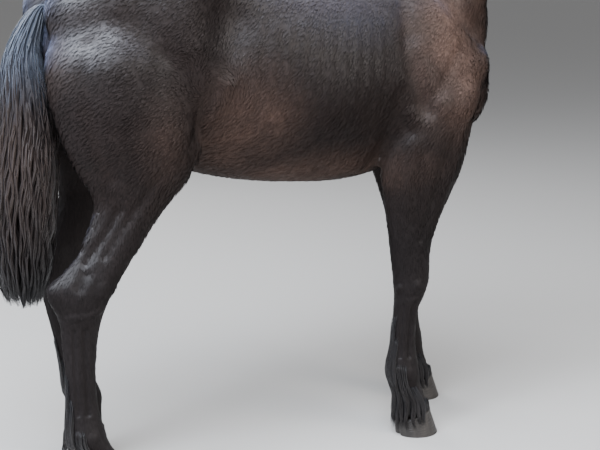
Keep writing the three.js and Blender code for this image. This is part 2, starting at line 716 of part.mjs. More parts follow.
// Forelock: locks from between the ears down over the forehead. Each line holds: distance
// from the middle at the root and at the tip, length, height over the face.
const forelockLines = [
  [-24, -50, 195, 9], [-12, -27, 240, 10], [0, -4, 275, 9], [12, 20, 245, 10], [24, 46, 205, 9],
  [3, -12, 185, 20],
];

function faceHeight(along, y) {
  const [, face, jaw, halfWidth, widest, squareHigh] = headRowAt(along);
  const level = jaw + (face - jaw) * widest;
  const share = Math.min(Math.abs(y) / halfWidth, 1) ** squareHigh;
  return level + (face - level) * (1 - share) ** (1 / squareHigh);
}

function forelock() {
  return forelockLines.map(([rootY, tipY, length, lift], i) => {
    const wave = i % 2 === 0 ? 5 : -5;
    const points = [headPlace(-22, faceHeight(-22, rootY) - 12, rootY)];
    for (const share of [0.06, 0.3, 0.55, 0.8, 1]) {
      const along = 4 + length * share;
      const y = THREE.MathUtils.lerp(rootY, tipY, share) + wave * Math.sin(6 * share);
      points.push(headPlace(along, faceHeight(along, y) + lift, y));
    }
    const across = new THREE.Vector3(0, 1, 0).addScaledVector(faceOut, 0.2);
    return lock(points, () => across, { width: 30, thick: 7, rings: 6 });
  });
}

// Feather: locks behind and beside each fetlock and pastern, the lowest ones over the heel.
// Each tier holds: height of its roots, height of its tips, count, spread each way from the
// rear in degrees, width, distance from the leg.
const featherTiers = [
  { root: 262, tip: 140, count: 3, spread: 36, width: 32, lift: 8 },
  { root: 176, tip: 14, count: 5, spread: 100, width: 38, lift: 8 },
];

function feather(kind, side) {
  const random = randomFrom(kind === 'hind' ? 71 + side : 91 + side);
  const locks = [];
  for (const { root, tip, count, spread, width, lift } of featherTiers) {
    for (let i = 0; i < count; i += 1) {
      const turn = THREE.MathUtils.lerp(-spread, spread, i / (count - 1));
      const angle = Math.PI + THREE.MathUtils.degToRad(turn);
      const rootHeight = root - 0.15 * Math.abs(turn) + 8 * random();
      const tipHeight = tip + 0.25 * Math.abs(turn) + 14 * random();
      const points = [legPlace(kind, side, rootHeight, angle, -8)];
      for (const fall of [0.2, 0.45, 0.72, 1]) {
        const z = THREE.MathUtils.lerp(rootHeight, tipHeight, fall);
        const onLeg = legPlace(kind, side, Math.max(z, 95), angle, lift * (0.6 + fall));
        const onHoof = hoofPlace(kind, side, THREE.MathUtils.clamp(z / 60, 0, 1), angle, lift);
        points.push(onLeg.lerp(onHoof, THREE.MathUtils.clamp((150 - z) / 70, 0, 1)).setZ(z));
      }
      const behind = legPlace(kind, side, rootHeight, Math.PI, 0);
      const middle = legPlace(kind, side, rootHeight, 0, 0).lerp(behind, 0.5);
      const out = points[1].clone().sub(middle).setZ(0).normalize();
      const across = new THREE.Vector3(-out.y, out.x, 0).addScaledVector(out, shingle);
      locks.push(lock(points, () => across, { width, thick: 7, rings: 5 }));
    }
  }
  return locks;
}

// Tail: a dock that arches out of the croup, a short core, and locks that hang to the hocks.
// Rows hold: centre x, centre z, half length and half width of the whole tail at that height.
const tailRows = [
  [-640, 1335, 22, 24],
  [-668, 1326, 28, 32],
  [-692, 1285, 38, 44],
  [-720, 1200, 52, 58],
  [-724, 1070, 66, 78],
  [-745, 920, 78, 92],
  [-752, 770, 84, 92],
  [-752, 650, 76, 80],
  [-747, 540, 48, 52],
];

function tailPlace(place, angle, share) {
  const [x, z, halfLength, halfWidth] = between(tailRows, place);
  const along = Math.cos(angle) * halfLength * share;
  return new THREE.Vector3(x + along, Math.sin(angle) * halfWidth * share, z);
}

// Each layer holds: count, rows where its roots spread and where its tips end, share of the
// tail's size, first angle, width.
const tailLayers = [
  { count: 4, rootFrom: 2, rootTo: 3.4, tip: 7.6, share: 0.58, turn: 0.4, width: 62, seed: 5 },
  { count: 10, rootFrom: 0.9, rootTo: 2.6, tip: 8, share: 0.97, turn: 0, width: 52, seed: 9 },
];
const coreRows = [[0, 0.9], [1, 0.72], [2, 0.55], [3, 0.42], [4, 0.3], [4.6, 0.1]];

function tail() {
  const core = solidFromRings(coreRows.map(([place, share]) => (
    ringOf(10, (angle) => tailPlace(place, angle, share)))));
  const locks = [];
  for (const { count, rootFrom, rootTo, tip, share, turn, width, seed } of tailLayers) {
    const random = randomFrom(seed);
    for (let i = 0; i < count; i += 1) {
      const angle = turn + (2 * Math.PI * i) / count;
      const rear = 0.5 - 0.5 * Math.cos(angle); // 1 at the back of the tail, 0 at the front
      const root = THREE.MathUtils.lerp(rootTo, rootFrom, rear);
      const end = tip - 0.5 * random();
      const wave = 4 + 5 * random();
      const phase = 6.3 * random();
      const points = [tailPlace(root, angle, 0.25)];
      for (const fall of [0.1, 0.3, 0.54, 0.78, 1]) {
        const place = THREE.MathUtils.lerp(root, end, fall);
        const sway = THREE.MathUtils.clamp(fall * 3, 0, 1);
        const point = tailPlace(place, angle, share * (0.75 + 0.25 * sway));
        point.x += sway * wave * Math.sin(phase + 9 * fall);
        point.y += sway * wave * Math.cos(phase + 8 * fall);
        points.push(point);
      }
      const out = new THREE.Vector3(Math.cos(angle), Math.sin(angle), 0);
      const across = new THREE.Vector3(-out.y, out.x, 0).addScaledVector(out, shingle);
      locks.push(lock(points, () => across, { width, thick: 11, rings: 6 }));
    }
  }
  return join(core, ...locks);
}

const materials = {
  coat: [0x1a1411, 0.55],
  hair: [0x120f0e, 0.6],
  horn: [0x2d2a29, 0.5],
  eye: [0x150d09, 0.12],
};

const horse = new THREE.Group();

function place(name, body, kind) {
  const mesh = body.getMesh();
  const geometry = new THREE.BufferGeometry();
  geometry.setAttribute('position', new THREE.BufferAttribute(new Float32Array(mesh.vertProperties), 3));
  geometry.setIndex(new THREE.BufferAttribute(new Uint32Array(mesh.triVerts), 1));
  geometry.computeVertexNormals();
  const [color, roughness] = materials[kind];
  const material = new THREE.MeshStandardMaterial({ color, roughness, metalness: 0 });
  const piece = new THREE.Mesh(geometry, material);
  piece.name = name;
  horse.add(piece);
}

const sideName = (side) => (side > 0 ? 'left' : 'right');

function buildTorso() {
  place('torso', largest(trunk(0)), 'coat');
}

function buildNeck() {
  place('neck', largest(join(neck(0), ...maneLocks()).subtract(trunk(seam)).subtract(head(seam))), 'coat');
}

function buildHead() {
  let body = join(head(0), ...forelock());
  for (const side of [1, -1]) body = body.add(lids(side)).add(nostrilRim(side));
  for (const side of [1, -1]) {
    for (const cut of [eye(side, seam), lidOpening(side), nostril(side), ear(side, seam)]) {
      body = body.subtract(cut);
    }
  }
  place('head', largest(body.subtract(mouthGroove())), 'coat');
  for (const side of [1, -1]) {
    place(`eye_${sideName(side)}`, eye(side, 0), 'eye');
    place(`ear_${sideName(side)}`, ear(side, 0), 'coat');
  }
}

function buildLegs() {
  const body = trunk(seam);
  for (const side of [1, -1]) {
    for (const [kind, cut] of [['hind', hockCut], ['fore', kneeCut]]) {
      const whole = leg(kind, side, 0);
      const name = sideName(side);
      place(`${kind}_leg_${name}`, largest(whole.subtract(below(cut)).subtract(body)), 'coat');
      const cannon = join(whole.subtract(above(cut - seam)), ...feather(kind, side));
      place(`${kind}_cannon_${name}`, largest(cannon.subtract(hoof(kind, side, seam))), 'coat');
      place(`hoof_${kind}_${name}`, hoof(kind, side, 0), 'horn');
    }
  }
}

function buildTail() {
  const clear = join(trunk(seam), leg('hind', 1, seam), leg('hind', -1, seam));
  place('tail', largest(tail().subtract(clear)), 'hair');
}

buildTorso();
buildNeck();
buildHead();
buildLegs();
buildTail();

// The origin lies on the floor, under the middle of the whole outline.
const middle = new THREE.Box3().setFromObject(horse).getCenter(new THREE.Vector3());
horse.position.set(-middle.x, -middle.y, 0);

export default horse;
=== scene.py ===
import math
import bmesh
import bpy
import numpy as np
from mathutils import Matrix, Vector
from mathutils.bvhtree import BVHTree
from mathutils.kdtree import KDTree


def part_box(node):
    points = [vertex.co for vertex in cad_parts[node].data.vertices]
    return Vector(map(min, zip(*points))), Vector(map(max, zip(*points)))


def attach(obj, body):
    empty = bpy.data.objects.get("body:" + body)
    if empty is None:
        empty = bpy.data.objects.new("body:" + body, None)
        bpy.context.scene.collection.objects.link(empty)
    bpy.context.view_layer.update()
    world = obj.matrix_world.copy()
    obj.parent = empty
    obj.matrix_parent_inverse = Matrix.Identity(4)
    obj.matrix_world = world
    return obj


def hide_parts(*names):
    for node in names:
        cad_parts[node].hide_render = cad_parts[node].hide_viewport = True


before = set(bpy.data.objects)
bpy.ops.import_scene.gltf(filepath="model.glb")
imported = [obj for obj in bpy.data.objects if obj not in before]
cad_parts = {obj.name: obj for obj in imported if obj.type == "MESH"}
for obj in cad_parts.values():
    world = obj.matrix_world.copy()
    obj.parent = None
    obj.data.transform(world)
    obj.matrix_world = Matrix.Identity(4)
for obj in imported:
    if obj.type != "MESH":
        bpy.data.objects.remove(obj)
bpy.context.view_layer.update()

# A young Friesian horse standing at rest, its left hind foot on its toe. Objects are in metres, tables in
# millimetres of the horse's own drawing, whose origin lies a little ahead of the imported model's.
hoofRear = 0.362  # rear end of the right fore hoof in the drawing
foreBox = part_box("hoof_fore_right")
shift = np.array([foreBox[0][0] - hoofRear, (foreBox[0][1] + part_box("hoof_fore_left")[1][1]) / 2, 0.0])


def placed(points):
    # from the drawing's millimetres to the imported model's metres
    return np.asarray(points, float) * 0.001 + shift


# the camera stands behind the horse's right hip, looking forward and a little down
view = {"place": (-1.57, -3.087, 1.436), "yaw": 28.3, "pitch": 12.3, "lens": 72.0}


def addCamera():
    data = bpy.data.cameras.new("camera")
    data.lens = view["lens"]
    data.sensor_width = 36.0
    data.clip_end = 200.0
    camera = bpy.data.objects.new("camera", data)
    bpy.context.scene.collection.objects.link(camera)
    camera.location = Vector(view["place"]) + Vector(shift)
    camera.rotation_euler = (math.radians(90 - view["pitch"]), 0.0, math.radians(-view["yaw"]))
    bpy.context.scene.camera = camera


addCamera()
print("camera set")

# the drawing: sections of trunk, neck, head and legs
# trunk and neck rows: upper edge x, z, lower edge x, z; then the form: half width, the share of the height
# where it is widest, squareness above and below it
trunkRows = [
    (-652, 1322, -676, 1215, 66, 0.5, 2.2, 2.0),
    (-628, 1380, -652, 1120, 134, 0.5, 2.6, 2.0),
    (-555, 1440, -578, 1030, 192, 0.55, 2.8, 2.0),
    (-450, 1486, -460, 960, 222, 0.6, 2.8, 2.0),
    (-330, 1502, -335, 892, 240, 0.62, 2.7, 2.0),
    (-210, 1488, -215, 852, 230, 0.55, 2.3, 2.1),
    (-80, 1462, -85, 826, 240, 0.5, 2.2, 2.2),
    (50, 1444, 50, 812, 252, 0.46, 2.1, 2.2),
    (170, 1450, 170, 806, 246, 0.46, 1.9, 2.2),
    (270, 1482, 270, 812, 227, 0.46, 1.7, 2.1),
    (350, 1500, 350, 828, 206, 0.46, 1.6, 2.1),
    (440, 1480, 440, 856, 188, 0.46, 1.7, 2.1),
    (530, 1420, 530, 896, 170, 0.46, 2.0, 2.1),
    (610, 1335, 612, 945, 148, 0.46, 2.0, 2.0),
    (672, 1245, 674, 1000, 114, 0.5, 2.0, 2.0),
    (708, 1165, 708, 1060, 62, 0.5, 2.0, 2.0),
]
neckRows = [
    (330, 1480, 690, 1080, 148, 0.5, 1.7, 2.0),
    (415, 1556, 704, 1215, 124, 0.45, 1.6, 2.0),
    (502, 1654, 714, 1345, 100, 0.42, 1.6, 2.0),
    (592, 1753, 738, 1462, 84, 0.42, 1.6, 2.0),
    (685, 1840, 778, 1560, 76, 0.45, 1.7, 2.0),
    (770, 1900, 822, 1635, 73, 0.5, 1.8, 2.0),
    (838, 1924, 862, 1695, 70, 0.55, 2.0, 2.0),
    (885, 1912, 902, 1745, 55, 0.5, 2.0, 2.0),
]
# head rows: distance down the face, its upper and lower edge out of the face line, form
headRows = [
    (-52, -30, -70, 16, 0.5, 2.0, 2.0),
    (-34, 2, -105, 46, 0.5, 2.0, 2.0),
    (0, 27, -145, 70, 0.6, 2.0, 2.0),
    (45, 41, -184, 84, 0.66, 2.0, 1.9),
    (95, 49, -206, 93, 0.7, 2.1, 1.8),
    (145, 52, -210, 99, 0.75, 2.3, 1.7),
    (192, 48, -198, 98, 0.78, 2.4, 1.7),
    (240, 41, -172, 86, 0.76, 2.3, 1.8),
    (290, 35, -142, 70, 0.7, 2.1, 1.9),
    (340, 30, -119, 58, 0.62, 2.0, 2.0),
    (390, 27, -104, 51, 0.56, 2.0, 2.0),
    (440, 25, -95, 48, 0.52, 2.1, 2.1),
    (485, 24, -97, 50, 0.54, 2.3, 2.2),
    (525, 19, -102, 53, 0.58, 2.4, 2.2),
    (553, 8, -98, 49, 0.56, 2.4, 2.2),
    (574, -12, -86, 38, 0.5, 2.2, 2.1),
    (585, -32, -68, 18, 0.5, 2.0, 2.0),
]
# leg rows: height, front and rear edge, distance from the middle, form
hindRows = [
    (1390, -420, -530, 105, 45, 0.5, 2.0, 2.0),
    (1315, -370, -632, 118, 80, 0.5, 2.0, 2.0),
    (1215, -325, -697, 130, 118, 0.52, 2.0, 2.0),
    (1120, -314, -700, 136, 125, 0.55, 2.0, 2.0),
    (1040, -306, -682, 141, 119, 0.56, 2.0, 2.0),
    (970, -304, -661, 146, 106, 0.58, 2.0, 2.0),
    (915, -312, -636, 150, 91, 0.6, 2.0, 1.9),
    (875, -338, -613, 154, 78, 0.6, 2.0, 1.9),
    (840, -376, -600, 158, 66, 0.6, 2.0, 1.8),
    (800, -414, -602, 162, 57, 0.6, 2.0, 1.7),
    (750, -455, -622, 166, 50, 0.62, 2.0, 1.6),
    (700, -490, -651, 170, 45, 0.64, 2.0, 1.5),
    (660, -518, -690, 173, 43, 0.66, 2.1, 1.5),
    (626, -542, -735, 175, 43, 0.66, 2.2, 1.6),
    (592, -565, -735, 176, 44, 0.64, 2.3, 1.7),
    (552, -586, -717, 177, 41, 0.6, 2.3, 1.8),
    (510, -601, -706, 178, 35, 0.55, 2.1, 1.9),
    (455, -612, -702, 179, 31, 0.52, 2.0, 2.0),
    (380, -617, -698, 180, 30, 0.5, 2.0, 2.0),
    (305, -615, -697, 180, 30, 0.5, 2.0, 2.0),
    (258, -608, -699, 181, 35, 0.5, 2.0, 2.0),
    (222, -599, -700, 182, 41, 0.5, 2.2, 2.0),
    (194, -592, -695, 182, 41, 0.5, 2.2, 2.0),
    (168, -580, -674, 183, 36, 0.5, 2.0, 2.0),
    (142, -563, -652, 183, 35, 0.5, 2.0, 2.0),
    (114, -542, -634, 184, 40, 0.5, 2.0, 2.0),
    (88, -524, -620, 184, 46, 0.5, 2.0, 2.0),
    (62, -512, -610, 184, 47, 0.5, 2.0, 2.0),
]
restingFoot = [
    (194, -595, -692, 182, 41, 0.5, 2.2, 2.0),
    (168, -600, -684, 183, 36, 0.5, 2.0, 2.0),
    (142, -606, -684, 183, 36, 0.5, 2.0, 2.0),
    (118, -610, -694, 184, 41, 0.5, 2.0, 2.0),
    (98, -616, -704, 184, 44, 0.5, 2.0, 2.0),
    (62, -632, -704, 184, 38, 0.5, 2.0, 2.0),
]
foreRows = [
    (1200, 570, 450, 122, 50, 0.5, 2.0, 2.0),
    (1115, 625, 380, 133, 74, 0.5, 2.0, 2.0),
    (1040, 622, 322, 142, 95, 0.5, 2.0, 2.0),
    (975, 596, 300, 147, 91, 0.5, 2.0, 2.0),
    (920, 578, 288, 150, 85, 0.52, 2.0, 2.0),
    (865, 566, 283, 150, 77, 0.55, 2.0, 1.9),
    (815, 551, 287, 148, 68, 0.56, 2.0, 1.9),
    (760, 526, 296, 145, 60, 0.56, 2.0, 1.8),
    (700, 498, 308, 142, 52, 0.55, 2.0, 1.8),
    (640, 475, 319, 139, 46, 0.55, 2.0, 1.8),
    (580, 463, 328, 137, 43, 0.55, 2.1, 1.8),
    (520, 460, 339, 135, 46, 0.56, 2.3, 1.9),
    (480, 453, 345, 134, 48, 0.56, 2.4, 1.9),
    (445, 440, 349, 134, 45, 0.55, 2.3, 1.9),
    (410, 428, 347, 133, 37, 0.54, 2.1, 2.0),
    (355, 422, 344, 133, 32, 0.52, 2.0, 2.0),
    (300, 422, 341, 133, 31, 0.5, 2.0, 2.0),
    (260, 426, 336, 133, 35, 0.5, 2.0, 2.0),
    (225, 432, 331, 133, 41, 0.5, 2.2, 2.0),
    (195, 436, 335, 133, 41, 0.5, 2.2, 2.0),
    (165, 442, 348, 133, 36, 0.5, 2.0, 2.0),
    (135, 451, 358, 133, 36, 0.5, 2.0, 2.0),
    (105, 461, 368, 133, 42, 0.5, 2.0, 2.0),
    (78, 468, 374, 133, 47, 0.5, 2.0, 2.0),
    (52, 472, 378, 133, 47, 0.5, 2.0, 2.0),
]
# swellings and hollows of the sides: place, height, reach along and across, slant in degrees, lift
trunkRelief = [
    (455, 1275, 210, 95, -55, 24),
    (610, 1120, 80, 80, 0, 26),
    (430, 1050, 130, 95, 20, 34),
    (245, 975, 70, 90, 60, -8),
    (-225, 1290, 70, 110, 80, -16),
    (-312, 1405, 48, 48, 0, 14),
    (-440, 1250, 150, 130, 70, 10),
    (40, 1060, 240, 120, 0, 6),
]
neckRelief = [
    (620, 1560, 190, 55, 50, 8),
    (560, 1420, 120, 60, 60, -7),
]
headRelief = [
    (125, -105, 62, 70, 20, 9),
    (270, -48, 85, 13, -9, 8),
    (185, 34, 60, 20, -6, 12),
    (196, -22, 66, 18, -8, 7),
    (205, -130, 60, 22, 35, 4),
    (350, -10, 60, 30, 0, -4),
    (512, -18, 30, 26, 0, 6),
    (560, -34, 26, 14, 0, 4),
    (545, -74, 34, 14, 0, 4),
]
stance = {
    "fore": {"rows": foreRows, "leftRows": foreRows,
             "advance": 190, "inward": 0, "swing": 1300, "step": 3},
    "hind": {"rows": hindRows, "leftRows": [row for row in hindRows if row[0] > 194] + restingFoot,
             "advance": 130, "inward": 45, "swing": 850, "step": 1},
}
poll = np.array([852.0, 0.0, 1922.0])
headTilt = math.radians(54)
faceAlong = np.array([math.cos(headTilt), 0.0, -math.sin(headTilt)])
faceOut = np.array([math.sin(headTilt), 0.0, math.cos(headTilt)])


def between(rows, places):
    # a smooth curve through table rows: place 2.5 lies half way between rows 2 and 3
    table = np.asarray(rows, float)
    places = np.clip(np.atleast_1d(np.asarray(places, float)), 0, len(table) - 1)
    i = np.minimum(places.astype(int), len(table) - 2)
    t = (places - i)[:, None]
    a, b, c, d = (table[np.clip(i + k, 0, len(table) - 1)] for k in (-1, 0, 1, 2))
    near, far, step = 0.5 * (c - a), 0.5 * (d - b), c - b
    return b + t * near + t**2 * (3 * step - 2 * near - far) + t**3 * (near + far - 2 * step)


def headPlace(along, out, y=0.0):
    along, out, y = np.broadcast_arrays(np.asarray(along, float), out, y)
    points = poll + along[..., None] * faceAlong + out[..., None] * faceOut
    points[..., 1] = y
    return points


def flatPair(x, z):
    return np.stack([x, np.zeros_like(x), z], axis=-1)


def railShape(rows):
    high, low = flatPair(rows[:, 0], rows[:, 1]), flatPair(rows[:, 2], rows[:, 3])
    return high, low, np.zeros(len(rows)), rows[:, 4:]


def headShape(rows):
    high, low = headPlace(rows[:, 0], rows[:, 1]), headPlace(rows[:, 0], rows[:, 2])
    return high, low, np.zeros(len(rows)), rows[:, 3:]


def legRows(kind, side):
    return stance[kind]["leftRows" if side > 0 else "rows"]


def stepAt(kind, side, height):
    # how far a leg stands ahead and inwards at a height; the left ones step forward below the swing height
    own = stance[kind]
    share = 1 - np.clip(height / own["swing"], 0, 1) ** own["step"] if side > 0 else 0.0 * height
    return own["advance"] * share, own["inward"] * share


def legShape(kind, side):
    def shape(rows):
        lead, inward = stepAt(kind, side, rows[:, 0])
        high, low = flatPair(rows[:, 1] + lead, rows[:, 0]), flatPair(rows[:, 2] + lead, rows[:, 0])
        return high, low, side * (rows[:, 3] - inward), rows[:, 4:]
    return shape


def outline(shape, angles, grow=0.0, relief=(), onHead=False):
    # points of sections, one row of angles each, from the upper edge round towards +Y
    high, low, y, form = shape
    halfWidth, widest, squareHigh, squareLow = (form[:, k, None] for k in range(4))
    up = high - low
    depth = np.linalg.norm(up, axis=1)[:, None]
    up = up / depth
    c, n = np.cos(angles), np.sin(angles)
    square = 2 / np.where(c > 0, squareHigh, squareLow)
    reach = np.where(c > 0, depth * (1 - widest), depth * widest) + grow
    lift = depth * widest + np.sign(c) * reach * np.abs(c) ** square
    points = low[:, None, :] + up[:, None, :] * lift[..., None]
    points[..., 1] = y[:, None] + np.sign(n) * (halfWidth + grow) * np.abs(n) ** square
    if onHead:
        fromPoll = points - poll
        along, out = fromPoll @ faceAlong, fromPoll @ faceOut
    else:
        along, out = points[..., 0], points[..., 2]
    rise = 0.0
    for place, height, reachAlong, reachAcross, angle, amount in relief:
        turn = math.radians(angle)
        a, b = along - place, out - height
        u = (a * math.cos(turn) + b * math.sin(turn)) / reachAlong
        v = (b * math.cos(turn) - a * math.sin(turn)) / reachAcross
        rise = rise + amount * np.exp(-u * u - v * v)
    points[..., 1] += np.sign(n) * np.abs(n) ** 0.7 * rise
    return points


def loft(rows, toShape, steps, sides, **how):
    places = np.linspace(0, len(rows) - 1, (len(rows) - 1) * steps + 1)
    angles = np.linspace(0, 2 * math.pi, sides, endpoint=False)[None, :]
    return outline(toShape(between(rows, places)), angles, **how)


def ringMesh(rings, loop=False):
    # vertices and faces of a closed tube of rings, its ends closed by a fan
    count, sides = rings.shape[:2]
    points = rings.reshape(-1, 3)
    r = np.arange(count if loop else count - 1)[:, None]
    s = np.arange(sides)[None, :]
    following = (s + 1) % sides
    here, there = r * sides, ((r + 1) % count) * sides
    quads = np.stack(np.broadcast_arrays(here + s, here + following, there + following, there + s), -1)
    faces = [tuple(f) for f in quads.reshape(-1, 4).tolist()]
    if not loop:
        points = np.vstack([points, rings[0].mean(0), rings[-1].mean(0)])
        last = (count - 1) * sides
        first = count * sides
        faces += [(first, (k + 1) % sides, k) for k in range(sides)]
        faces += [(first + 1, last + k, last + (k + 1) % sides) for k in range(sides)]
    volume = sum(np.dot(points[f[0]], np.cross(points[f[1]], points[f[2]])) for f in faces[::7])
    if volume < 0:
        faces = [f[::-1] for f in faces]
    return points, faces


def ballMesh(centre, radii, turnY=0.0, rings=24, sides=32):
    lift = np.linspace(0, math.pi, rings + 2)[1:-1, None]
    turn = np.linspace(0, 2 * math.pi, sides, endpoint=False)[None, :]
    sphere = np.stack([np.sin(lift) * np.cos(turn), np.sin(lift) * np.sin(turn),
                       np.cos(lift) + 0 * turn], -1)
    x, y, z = np.moveaxis(sphere * np.asarray(radii, float), -1, 0)
    cy, sy = math.cos(turnY), math.sin(turnY)
    return ringMesh(np.stack([x * cy + z * sy, y, z * cy - x * sy], -1) + np.asarray(centre, float))


def inScene(name, mesh):
    made = bpy.data.objects.new(name, mesh)
    bpy.context.scene.collection.objects.link(made)
    return made


def newObject(name, points, faces):
    mesh = bpy.data.meshes.new(name)
    mesh.from_pydata(np.asarray(points).tolist(), [], faces)
    mesh.update()
    mesh.shade_smooth()
    return inScene(name, mesh)


# skin: the drawing's forms grown together, then shaped muscle by muscle
skinWork = {"voxel": 0.0088, "inset": -2.5, "headInset": -1.5, "legInset": -1.5,
            "settle": 6, "blend": 55}

# rounded fillings, one each side, of breast, croup, thigh, elbow and shoulder: place, half sizes, lean
fills = [(647, 62, 1056, (62, 63, 112), 0.15), (-585, 100, 1315, (98, 98, 105), 0.4),
         (-490, 128, 1335, (130, 92, 110), 0.3), (-390, 150, 1320, (90, 80, 110), 0.0),
         (400, 140, 1120, (92, 72, 110), 0.3), (632, 60, 1262, (72, 66, 128), -0.05),
         (590, 95, 1330, (80, 52, 120), 0.5)]

forms = {"trunk": loft(trunkRows, railShape, 8, 160, grow=skinWork["inset"], relief=trunkRelief),
         "neck": loft(neckRows, railShape, 10, 128, grow=skinWork["inset"], relief=neckRelief),
         "head": loft(headRows, headShape, 8, 128, grow=skinWork["headInset"], relief=headRelief,
                       onHead=True)}
for kind in ("fore", "hind"):
    for side, word in ((1, "left"), (-1, "right")):
        rows, toShape = legRows(kind, side), legShape(kind, side)
        forms[f"{kind}_{word}"] = loft(rows, toShape, 4, 80, grow=skinWork["legInset"])


def buildSkin():
    points, faces = [], []
    parts = [ringMesh(rings) for rings in forms.values()]
    for x, y, z, radii, lean in fills:
        parts += [ballMesh((x, side * y, z), radii, lean) for side in (1, -1)]
    for p, f in parts:
        start = sum(len(q) for q in points)
        points.append(placed(p))
        faces += [tuple(start + k for k in face) for face in f]
    body = newObject("skin", np.vstack(points), faces)
    remesh = body.modifiers.new("remesh", "REMESH")
    remesh.mode = "VOXEL"
    remesh.voxel_size = skinWork["voxel"]
    return body


def applied(made):
    # the object's mesh with its modifiers worked in
    graph = bpy.context.evaluated_depsgraph_get()
    mesh = bpy.data.meshes.new_from_object(made.evaluated_get(graph))
    made.modifiers.clear()
    old, made.data = made.data, mesh
    bpy.data.meshes.remove(old)
    mesh.name = made.name
    return made


def pointsOf(mesh):
    flat = np.empty(len(mesh.vertices) * 3)
    mesh.vertices.foreach_get("co", flat)
    return flat.reshape(-1, 3)


def normalsOf(mesh):
    flat = np.empty(len(mesh.vertices) * 3, np.float32)
    mesh.vertex_normals.foreach_get("vector", flat)
    return flat.reshape(-1, 3).astype(float)


def setPoints(mesh, values):
    mesh.vertices.foreach_set("co", np.asarray(values, float).ravel())
    mesh.update()


def edgesOf(mesh):
    flat = np.empty(len(mesh.edges) * 2, np.int32)
    mesh.edges.foreach_get("vertices", flat)
    return flat.reshape(-1, 2)


def smoothed(values, edges, rounds, share, back=0.0):
    # share of the way to the neighbours' mean each round, and back out again to keep volume
    count = np.bincount(edges.ravel(), minlength=len(values)).clip(1)[:, None]
    a, b = edges.T
    for _ in range(rounds):
        for amount in ([share, -back] if np.any(back) else [share]):
            total = np.stack([np.bincount(a, values[b, k], len(values))
                              + np.bincount(b, values[a, k], len(values)) for k in range(3)], 1)
            values = values + amount * (total / count - values)
    return values


def hump(distance, radius):
    # 1 at the middle, 0 from the radius outwards
    return np.clip(1 - (distance / radius) ** 2, 0, 1) ** 2


skin = applied(buildSkin())
where = pointsOf(skin.data)
edges = edgesOf(skin.data)
where = smoothed(where, edges, skinWork["settle"], 0.5, 0.52)

# places where two forms meet and the skin runs over the join: x, y, z, radius, share
joins = [(430, 150, 1130, 190, 0.9), (600, 105, 1120, 120, 0.8), (330, 150, 1000, 110, 0.8),
         (560, 120, 990, 110, 0.8), (-340, 150, 1330, 190, 0.9), (-560, 150, 1330, 190, 0.9),
         (-330, 175, 1120, 150, 0.9), (-330, 150, 930, 110, 0.9), (-640, 110, 1180, 140, 0.8),
         (-500, 90, 1010, 120, 0.8), (500, 110, 1390, 170, 0.9), (620, 90, 1250, 130, 0.9),
         (400, 60, 1500, 140, 0.9), (840, 60, 1850, 110, 0.7), (850, 70, 1760, 100, 0.8),
         (835, 40, 1700, 90, 0.8), (870, 0, 1910, 90, 0.5), (-640, 140, 1265, 120, 0.95),
         (-560, 190, 1275, 130, 0.95), (-470, 215, 1270, 120, 0.9), (640, 100, 1280, 150, 0.95),
         (560, 120, 1400, 140, 0.95), (655, 80, 1130, 90, 0.9)]
drawn = (where - shift) * 1000
drawn[:, 1] = np.abs(drawn[:, 1])
mask = np.zeros(len(where))
for x, y, z, radius, share in joins:
    mask = np.maximum(mask, share * hump(np.linalg.norm(drawn - (x, y, z), axis=1), radius))
where = smoothed(where, edges, skinWork["blend"], 0.5 * mask[:, None])
setPoints(skin.data, where)
print("skin grown together:", len(where), "points")
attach(skin, "root")
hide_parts("torso", "neck", "head", "hind_leg_left", "hind_leg_right", "fore_leg_left",
            "fore_leg_right", "hind_cannon_left", "hind_cannon_right", "fore_cannon_left",
            "fore_cannon_right")

# finer mesh on head and legs, laid back on the drawing's forms away from the joins
def refined(mesh, chosen):
    # faces that touch a chosen point are split in four
    work = bmesh.new()
    work.from_mesh(mesh)
    work.verts.ensure_lookup_table()
    edgesIn = {e for v in np.flatnonzero(chosen) for e in work.verts[v].link_edges}
    bmesh.ops.subdivide_edges(work, edges=list(edgesIn), cuts=1, use_grid_fill=True)
    work.to_mesh(mesh)
    work.free()
    mesh.update()


def evened(chosen, rounds=3):
    # the steps that splitting leaves are smoothed out where chosen is 1
    where = pointsOf(skin.data)
    share = 0.5 * np.asarray(chosen, float)[:, None]
    setPoints(skin.data, smoothed(where, edgesOf(skin.data), rounds, share, 1.03 * share))


def drawnPoints():
    return (pointsOf(skin.data) - shift) * 1000


def drawnTree():
    return BVHTree.FromPolygons(drawnPoints().tolist(), [tuple(p.vertices) for p in skin.data.polygons])


def headShares(drawn):
    # distance down the face and out of its line
    fromPoll = drawn - poll
    return fromPoll @ faceAlong, fromPoll @ faceOut


def laidOn(drawn, names, clear):
    # points move to the nearest place on the named forms where clear is 1
    spots, faces = [], []
    for name in names:
        p, f = ringMesh(forms[name])
        start = len(spots)
        spots += p.tolist()
        faces += [tuple(k + start for k in face) for face in f]
    tree = BVHTree.FromPolygons(spots, faces)
    for k in np.flatnonzero(clear > 0.01):
        near = tree.find_nearest(drawn[k], 14.0)[0]
        if near is not None:
            drawn[k] += clear[k] * (np.array(near) - drawn[k])
    return drawn


def unit(vectors):
    return vectors / np.linalg.norm(vectors, axis=-1, keepdims=True).clip(1e-9)


def soft(values, low, high):
    # rises smoothly from 0 at low to 1 at high
    t = np.clip((values - low) / (high - low), 0, 1)
    return t * t * (3 - 2 * t)


